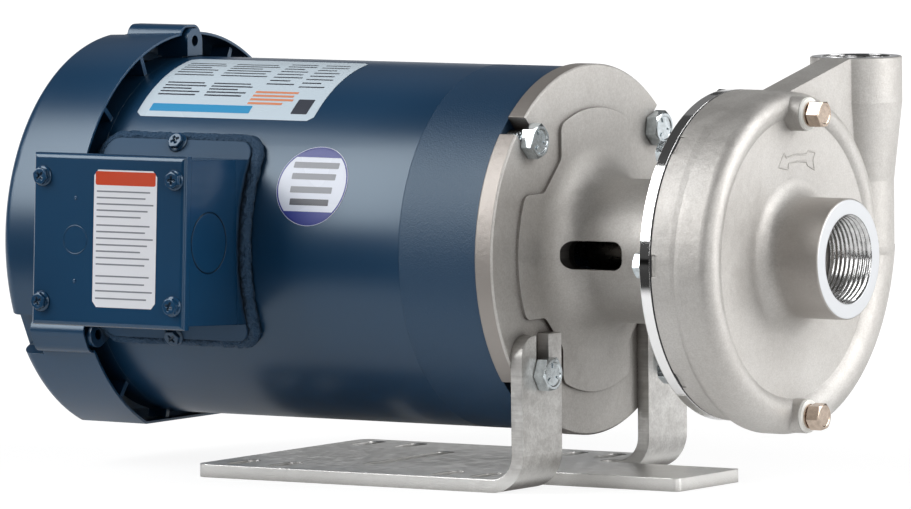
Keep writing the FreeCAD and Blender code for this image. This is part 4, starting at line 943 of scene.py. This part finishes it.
def make_motor_label(inks):
    """Pale plate on the shell's upper near side, with a blue band, a dark square and ruled columns."""
    def within(left, right, bottom, top):
        """Limits given in millimetres from the plate's lower left corner."""
        return (label_left + left * MM, label_left + right * MM,
                label_low + bottom * MM, label_low + top * MM)

    plate = (label_left, label_right, label_low, label_high, 3.0 * MM)
    film("motor_label", on_shell, plate, inks["silver"], film_lift)
    film("motor_label_band", on_shell, within(6, 62, 3.5, 8.5) + mm(0.5), inks["sky"], ink_lift)
    film("motor_label_square", on_shell, within(85, 94, 4, 14) + mm(0.3), inks["slate"], ink_lift)
    rule_lines("motor_label_block", on_shell, within(58, 82, 9, 20), 4, 1.5 * MM, inks["pale_orange"],
               (1.0, 0.95, 1.0, 0.8))
    columns = ((5, 28, 14, 26, 5), (31, 54, 14, 26, 5), (4, 26, 31, 48, 6), (30, 56, 31, 48, 6),
               (60, 76, 24, 50, 8), (79, 94, 22, 50, 8))
    for i, (left, right, bottom, top, count) in enumerate(columns):
        rule_lines("motor_label_rows_%d" % i, on_shell, within(left, right, bottom, top), count, 1.0 * MM,
                   inks["slate"], (0.9, 1.0, 0.7, 0.95))


def ring_film(name, inner, outer, ink, lift):
    """Ring between two radii about the round label's middle."""
    steps = 96
    layers = 8
    points = []
    for i in range(layers + 1):
        radius = inner + (outer - inner) * i / layers
        for j in range(steps):
            a = 2 * math.pi * j / steps
            points.append(on_shell(round_x + radius * math.cos(a), round_arc + radius * math.sin(a), lift))
    faces = []
    for i in range(layers):
        for j in range(steps):
            k = (j + 1) % steps
            faces.append((i * steps + j, (i + 1) * steps + j, (i + 1) * steps + k, i * steps + k))
    return add_film(name, points, faces, ink)


def chord_film(name, radius, low, high, ink):
    """Part of the round label between two level chords."""
    columns = 32
    rows = 10
    points = []
    for i in range(rows + 1):
        v = low + (high - low) * i / rows
        half = math.sqrt(max(0.0, radius * radius - v * v))
        for j in range(columns + 1):
            points.append(on_shell(round_x + half * (2 * j / columns - 1), round_arc + v, ink_lift))
    return add_film(name, points, grid_faces(rows, columns), ink)


def make_round_label(inks):
    """Round sticker with blue caps above and below, a blue rim and four grey bars."""
    cap = round_radius - 0.6 * MM
    ring_film("round_label", 0.02 * MM, round_radius, inks["pewter"], film_lift)
    ring_film("round_label_ring", round_radius - 1.0 * MM, round_radius - 0.2 * MM, inks["royal"], ink_lift)
    chord_film("round_label_top", cap, 13.6 * MM, round_radius - 0.7 * MM, inks["royal"])
    chord_film("round_label_foot", cap, 0.7 * MM - round_radius, -12.6 * MM, inks["royal"])
    bars = ((9.6, 12.4, "grey"), (4.0, 12.0, "grey"), (-2.4, 11.4, "grey"), (-8.2, 10.6, "slate"))
    for i, (height, reach, ink) in enumerate(bars):
        outline = (round_x - reach * MM, round_x + reach * MM, round_arc + (height - 1.5) * MM,
                   round_arc + (height + 1.5) * MM, 0.3 * MM)
        film("round_label_bar_%d" % i, on_shell, outline, inks[ink], ink_lift)


def make_labels():
    inks = {
        "white": printed("label_white", tint(224, 226, 232)),
        "silver": printed("label_silver", tint(206, 221, 232), 0.28),
        "pewter": printed("label_pewter", tint(212, 218, 231), 0.30),
        "orange": printed("label_orange", tint(196, 62, 22)),
        "pale_orange": printed("label_pale_orange", tint(226, 146, 110)),
        "grey": printed("label_grey", tint(126, 130, 138)),
        "slate": printed("label_slate", tint(66, 70, 80)),
        "sky": printed("label_sky", tint(62, 154, 204)),
        "royal": printed("label_royal", tint(36, 50, 134)),
    }
    make_box_label(inks)
    make_motor_label(inks)
    make_round_label(inks)


# Marks in the metal


def round_angles(count):
    """Angles evenly spread round a circle."""
    return [2 * math.pi * k / count for k in range(count)]


def ridge(name, route, width, height, lift_way, material):
    """Low rounded ridge along a closed route of points."""
    count = len(route)
    rings = []
    for i in range(count):
        along = (route[(i + 1) % count] - route[i - 1]).normalized()
        side = along.cross(lift_way).normalized()
        rings.append([route[i] + side * (width / 2 * math.cos(a)) + lift_way * (height * math.sin(a))
                      for a in round_angles(10)])
    rings.append(rings[0])
    points, faces = skin(rings, False, False)
    return add_piece(name, points, faces, material, crease=180.0)


def make_knockouts(materials):
    """Knock-out ring and two dimples pressed in the front of the box cover."""
    paint = materials["motor_paint"]
    forward = box_way(0, -1, 0)
    route = [on_cover(knockout_x + knockout_radius * math.cos(a), knockout_radius * math.sin(a), 0.0)
             for a in round_angles(64)]
    ridge("knockout_ring", route, 0.7 * MM, 0.16 * MM, forward, paint)
    for height in (-dot_height, dot_height):
        dot = [on_cover(knockout_x + dot_radius * math.cos(a), height + dot_radius * math.sin(a), 0.0)
               for a in round_angles(16)]
        ridge("knockout_dot_%d" % (height > 0), dot, 1.0 * MM, 0.22 * MM, forward, paint)


def make_arrow(materials):
    """Raised outline of a rotation arrow on the casing's face, as (Y, Z) millimetres from the shaft."""
    outline = ((-12.4, 41.3), (-7.5, 47.4), (-5.9, 45.3), (3.0, 46.3), (11.4, 45.8), (13.1, 47.2),
               (19.2, 46.3), (17.4, 42.8), (18.5, 38.4), (12.5, 40.8), (11.4, 42.5), (4.0, 43.1),
               (-3.7, 42.5), (-4.3, 39.9))
    corners = [Vector((casing_face, y * MM, shaft_z + z * MM)) for y, z in outline]
    route = []
    for i, corner in enumerate(corners):
        after = corners[(i + 1) % len(corners)]
        for j in range(6):
            route.append(corner.lerp(after, j / 6))
    ridge("rotation_arrow", route, 0.8 * MM, 0.32 * MM, Vector((1, 0, 0)), materials["cast_stainless"])


# Studio


def make_world():
    """White for the camera, and low down behind the object for reflections; dim all round for the rest."""
    world = bpy.data.worlds.new("studio")
    bpy.context.scene.world = world
    world.use_nodes = True
    tree = world.node_tree

    def join(kind, values, **settings):
        made = tree.nodes.new(kind)
        for name, value in settings.items():
            setattr(made, name, value)
        for name, value in values.items():
            if isinstance(value, bpy.types.NodeSocket):
                tree.links.new(value, made.inputs[name])
            else:
                made.inputs[name].default_value = value
        return made.outputs

    path = join("ShaderNodeLightPath", {})
    way = join("ShaderNodeSeparateXYZ", {"Vector": join("ShaderNodeTexCoord", {})["Generated"]})
    behind = join("ShaderNodeMapRange", {"Value": way["Y"], "From Min": 0.0, "From Max": 0.5})["Result"]
    low = join("ShaderNodeMapRange", {"Value": way["Z"], "From Min": 0.10, "From Max": 0.30, "To Min": 1.0,
                                      "To Max": 0.0})["Result"]
    mirrored = join("ShaderNodeMath", {0: path["Is Glossy Ray"], 1: path["Is Transmission Ray"]},
                    operation="MAXIMUM")[0]
    mirrored = join("ShaderNodeMath", {0: mirrored, 1: behind}, operation="MULTIPLY")[0]
    mirrored = join("ShaderNodeMath", {0: mirrored, 1: low}, operation="MULTIPLY")[0]
    seen = join("ShaderNodeMath", {0: path["Is Camera Ray"], 1: mirrored}, operation="MAXIMUM")[0]
    strength = join("ShaderNodeMapRange", {"Value": seen, "To Min": world_glow, "To Max": 1.0})["Result"]
    background = tree.nodes["Background"]
    tree.links.new(strength, background.inputs["Strength"])
    background.inputs["Color"].default_value = grey(1.0)


def make_floor():
    """White table, dark in front of the object, with a faint contact shadow."""
    mesh = bpy.data.meshes.new("floor")
    corners = [(x * floor_reach, y * floor_reach, 0) for x, y in ((-1, -1), (1, -1), (1, 1), (-1, 1))]
    mesh.from_pydata(corners, [], [(0, 1, 2, 3)])
    floor = bpy.data.objects.new("floor", mesh)
    bpy.context.scene.collection.objects.link(floor)
    g = Graph("floor")
    axes = g.axes()
    from_middle = g.radius_from(axes["X"], axes["Y"], shadow_middle, 0.0)
    near = g.ramp(from_middle, shadow_inner, shadow_outer, shadow_share, 0.0)
    white = g.ramp(axes["Y"], -table_front - 0.10, -table_front)
    path = g.node("LightPath")
    glow = g.node("Emission", Color=grey(1.0), Strength=floor_glow)
    blend = g.node("MixShader")
    mirrored = g.maths("MAXIMUM", path.outputs["Is Glossy Ray"], path.outputs["Is Transmission Ray"])
    mirrored = g.maths("MULTIPLY", mirrored, g.both(white, g.ramp(axes["Y"], 0.15, 0.45, front_glow, 1.0)))
    seen = g.maths("MAXIMUM", path.outputs["Is Camera Ray"], mirrored)
    share = g.maths("MULTIPLY", seen, g.maths("SUBTRACT", 1.0, near))
    g.tree.links.new(share, blend.inputs["Fac"])
    g.tree.links.new(g.surface.outputs["BSDF"], blend.inputs[1])
    g.tree.links.new(glow.outputs["Emission"], blend.inputs[2])
    g.tree.links.new(blend.outputs["Shader"], g.tree.nodes["Material Output"].inputs["Surface"])
    g.finish(Base_Color=g.mix(white, grey(0.04), grey(0.85)), Roughness=0.9, Specular_IOR_Level=0.0)
    mesh.materials.append(g.material)
    floor.location.z = -floor_drop


def softbox(name, azimuth, elevation, distance, width, height, glow):
    """Rectangular light that faces the object from one direction; glow is how bright it looks."""
    away = toward(azimuth, elevation)
    data = bpy.data.lights.new(name, "AREA")
    data.shape = "RECTANGLE"
    data.size = width
    data.size_y = height
    data.energy = glow * math.pi * width * height
    light = bpy.data.objects.new(name, data)
    bpy.context.scene.collection.objects.link(light)
    light.location = lights_aim + away * distance
    light.rotation_mode = "QUATERNION"
    light.rotation_quaternion = (-away).to_track_quat("-Z", "Y")
    light.visible_camera = False


def make_lights():
    """Azimuth, elevation, distance, width, height and glow of each light; the camera stands at 33."""
    softbox("key", -42, 33, 1.6, 1.05, 1.25, 5.3)
    softbox("right", 110, 24, 2.0, 1.6, 1.7, 4.4)
    softbox("near_right", 52, 18, 2.2, 0.9, 1.3, 3.0)
    softbox("back_high", 190, 44, 2.8, 4.5, 1.6, 0.12)


bpy.context.scene.view_settings.view_transform = "Standard"
materials = make_materials()
dress(materials)
make_face_bolts(materials)
make_casing_bolts(materials)
make_screws(materials)
make_plugs(materials)
make_port_threads(materials)
make_foam_bead(materials)
make_labels()
make_knockouts(materials)
make_arrow(materials)
make_camera()
make_world()
make_floor()
make_lights()
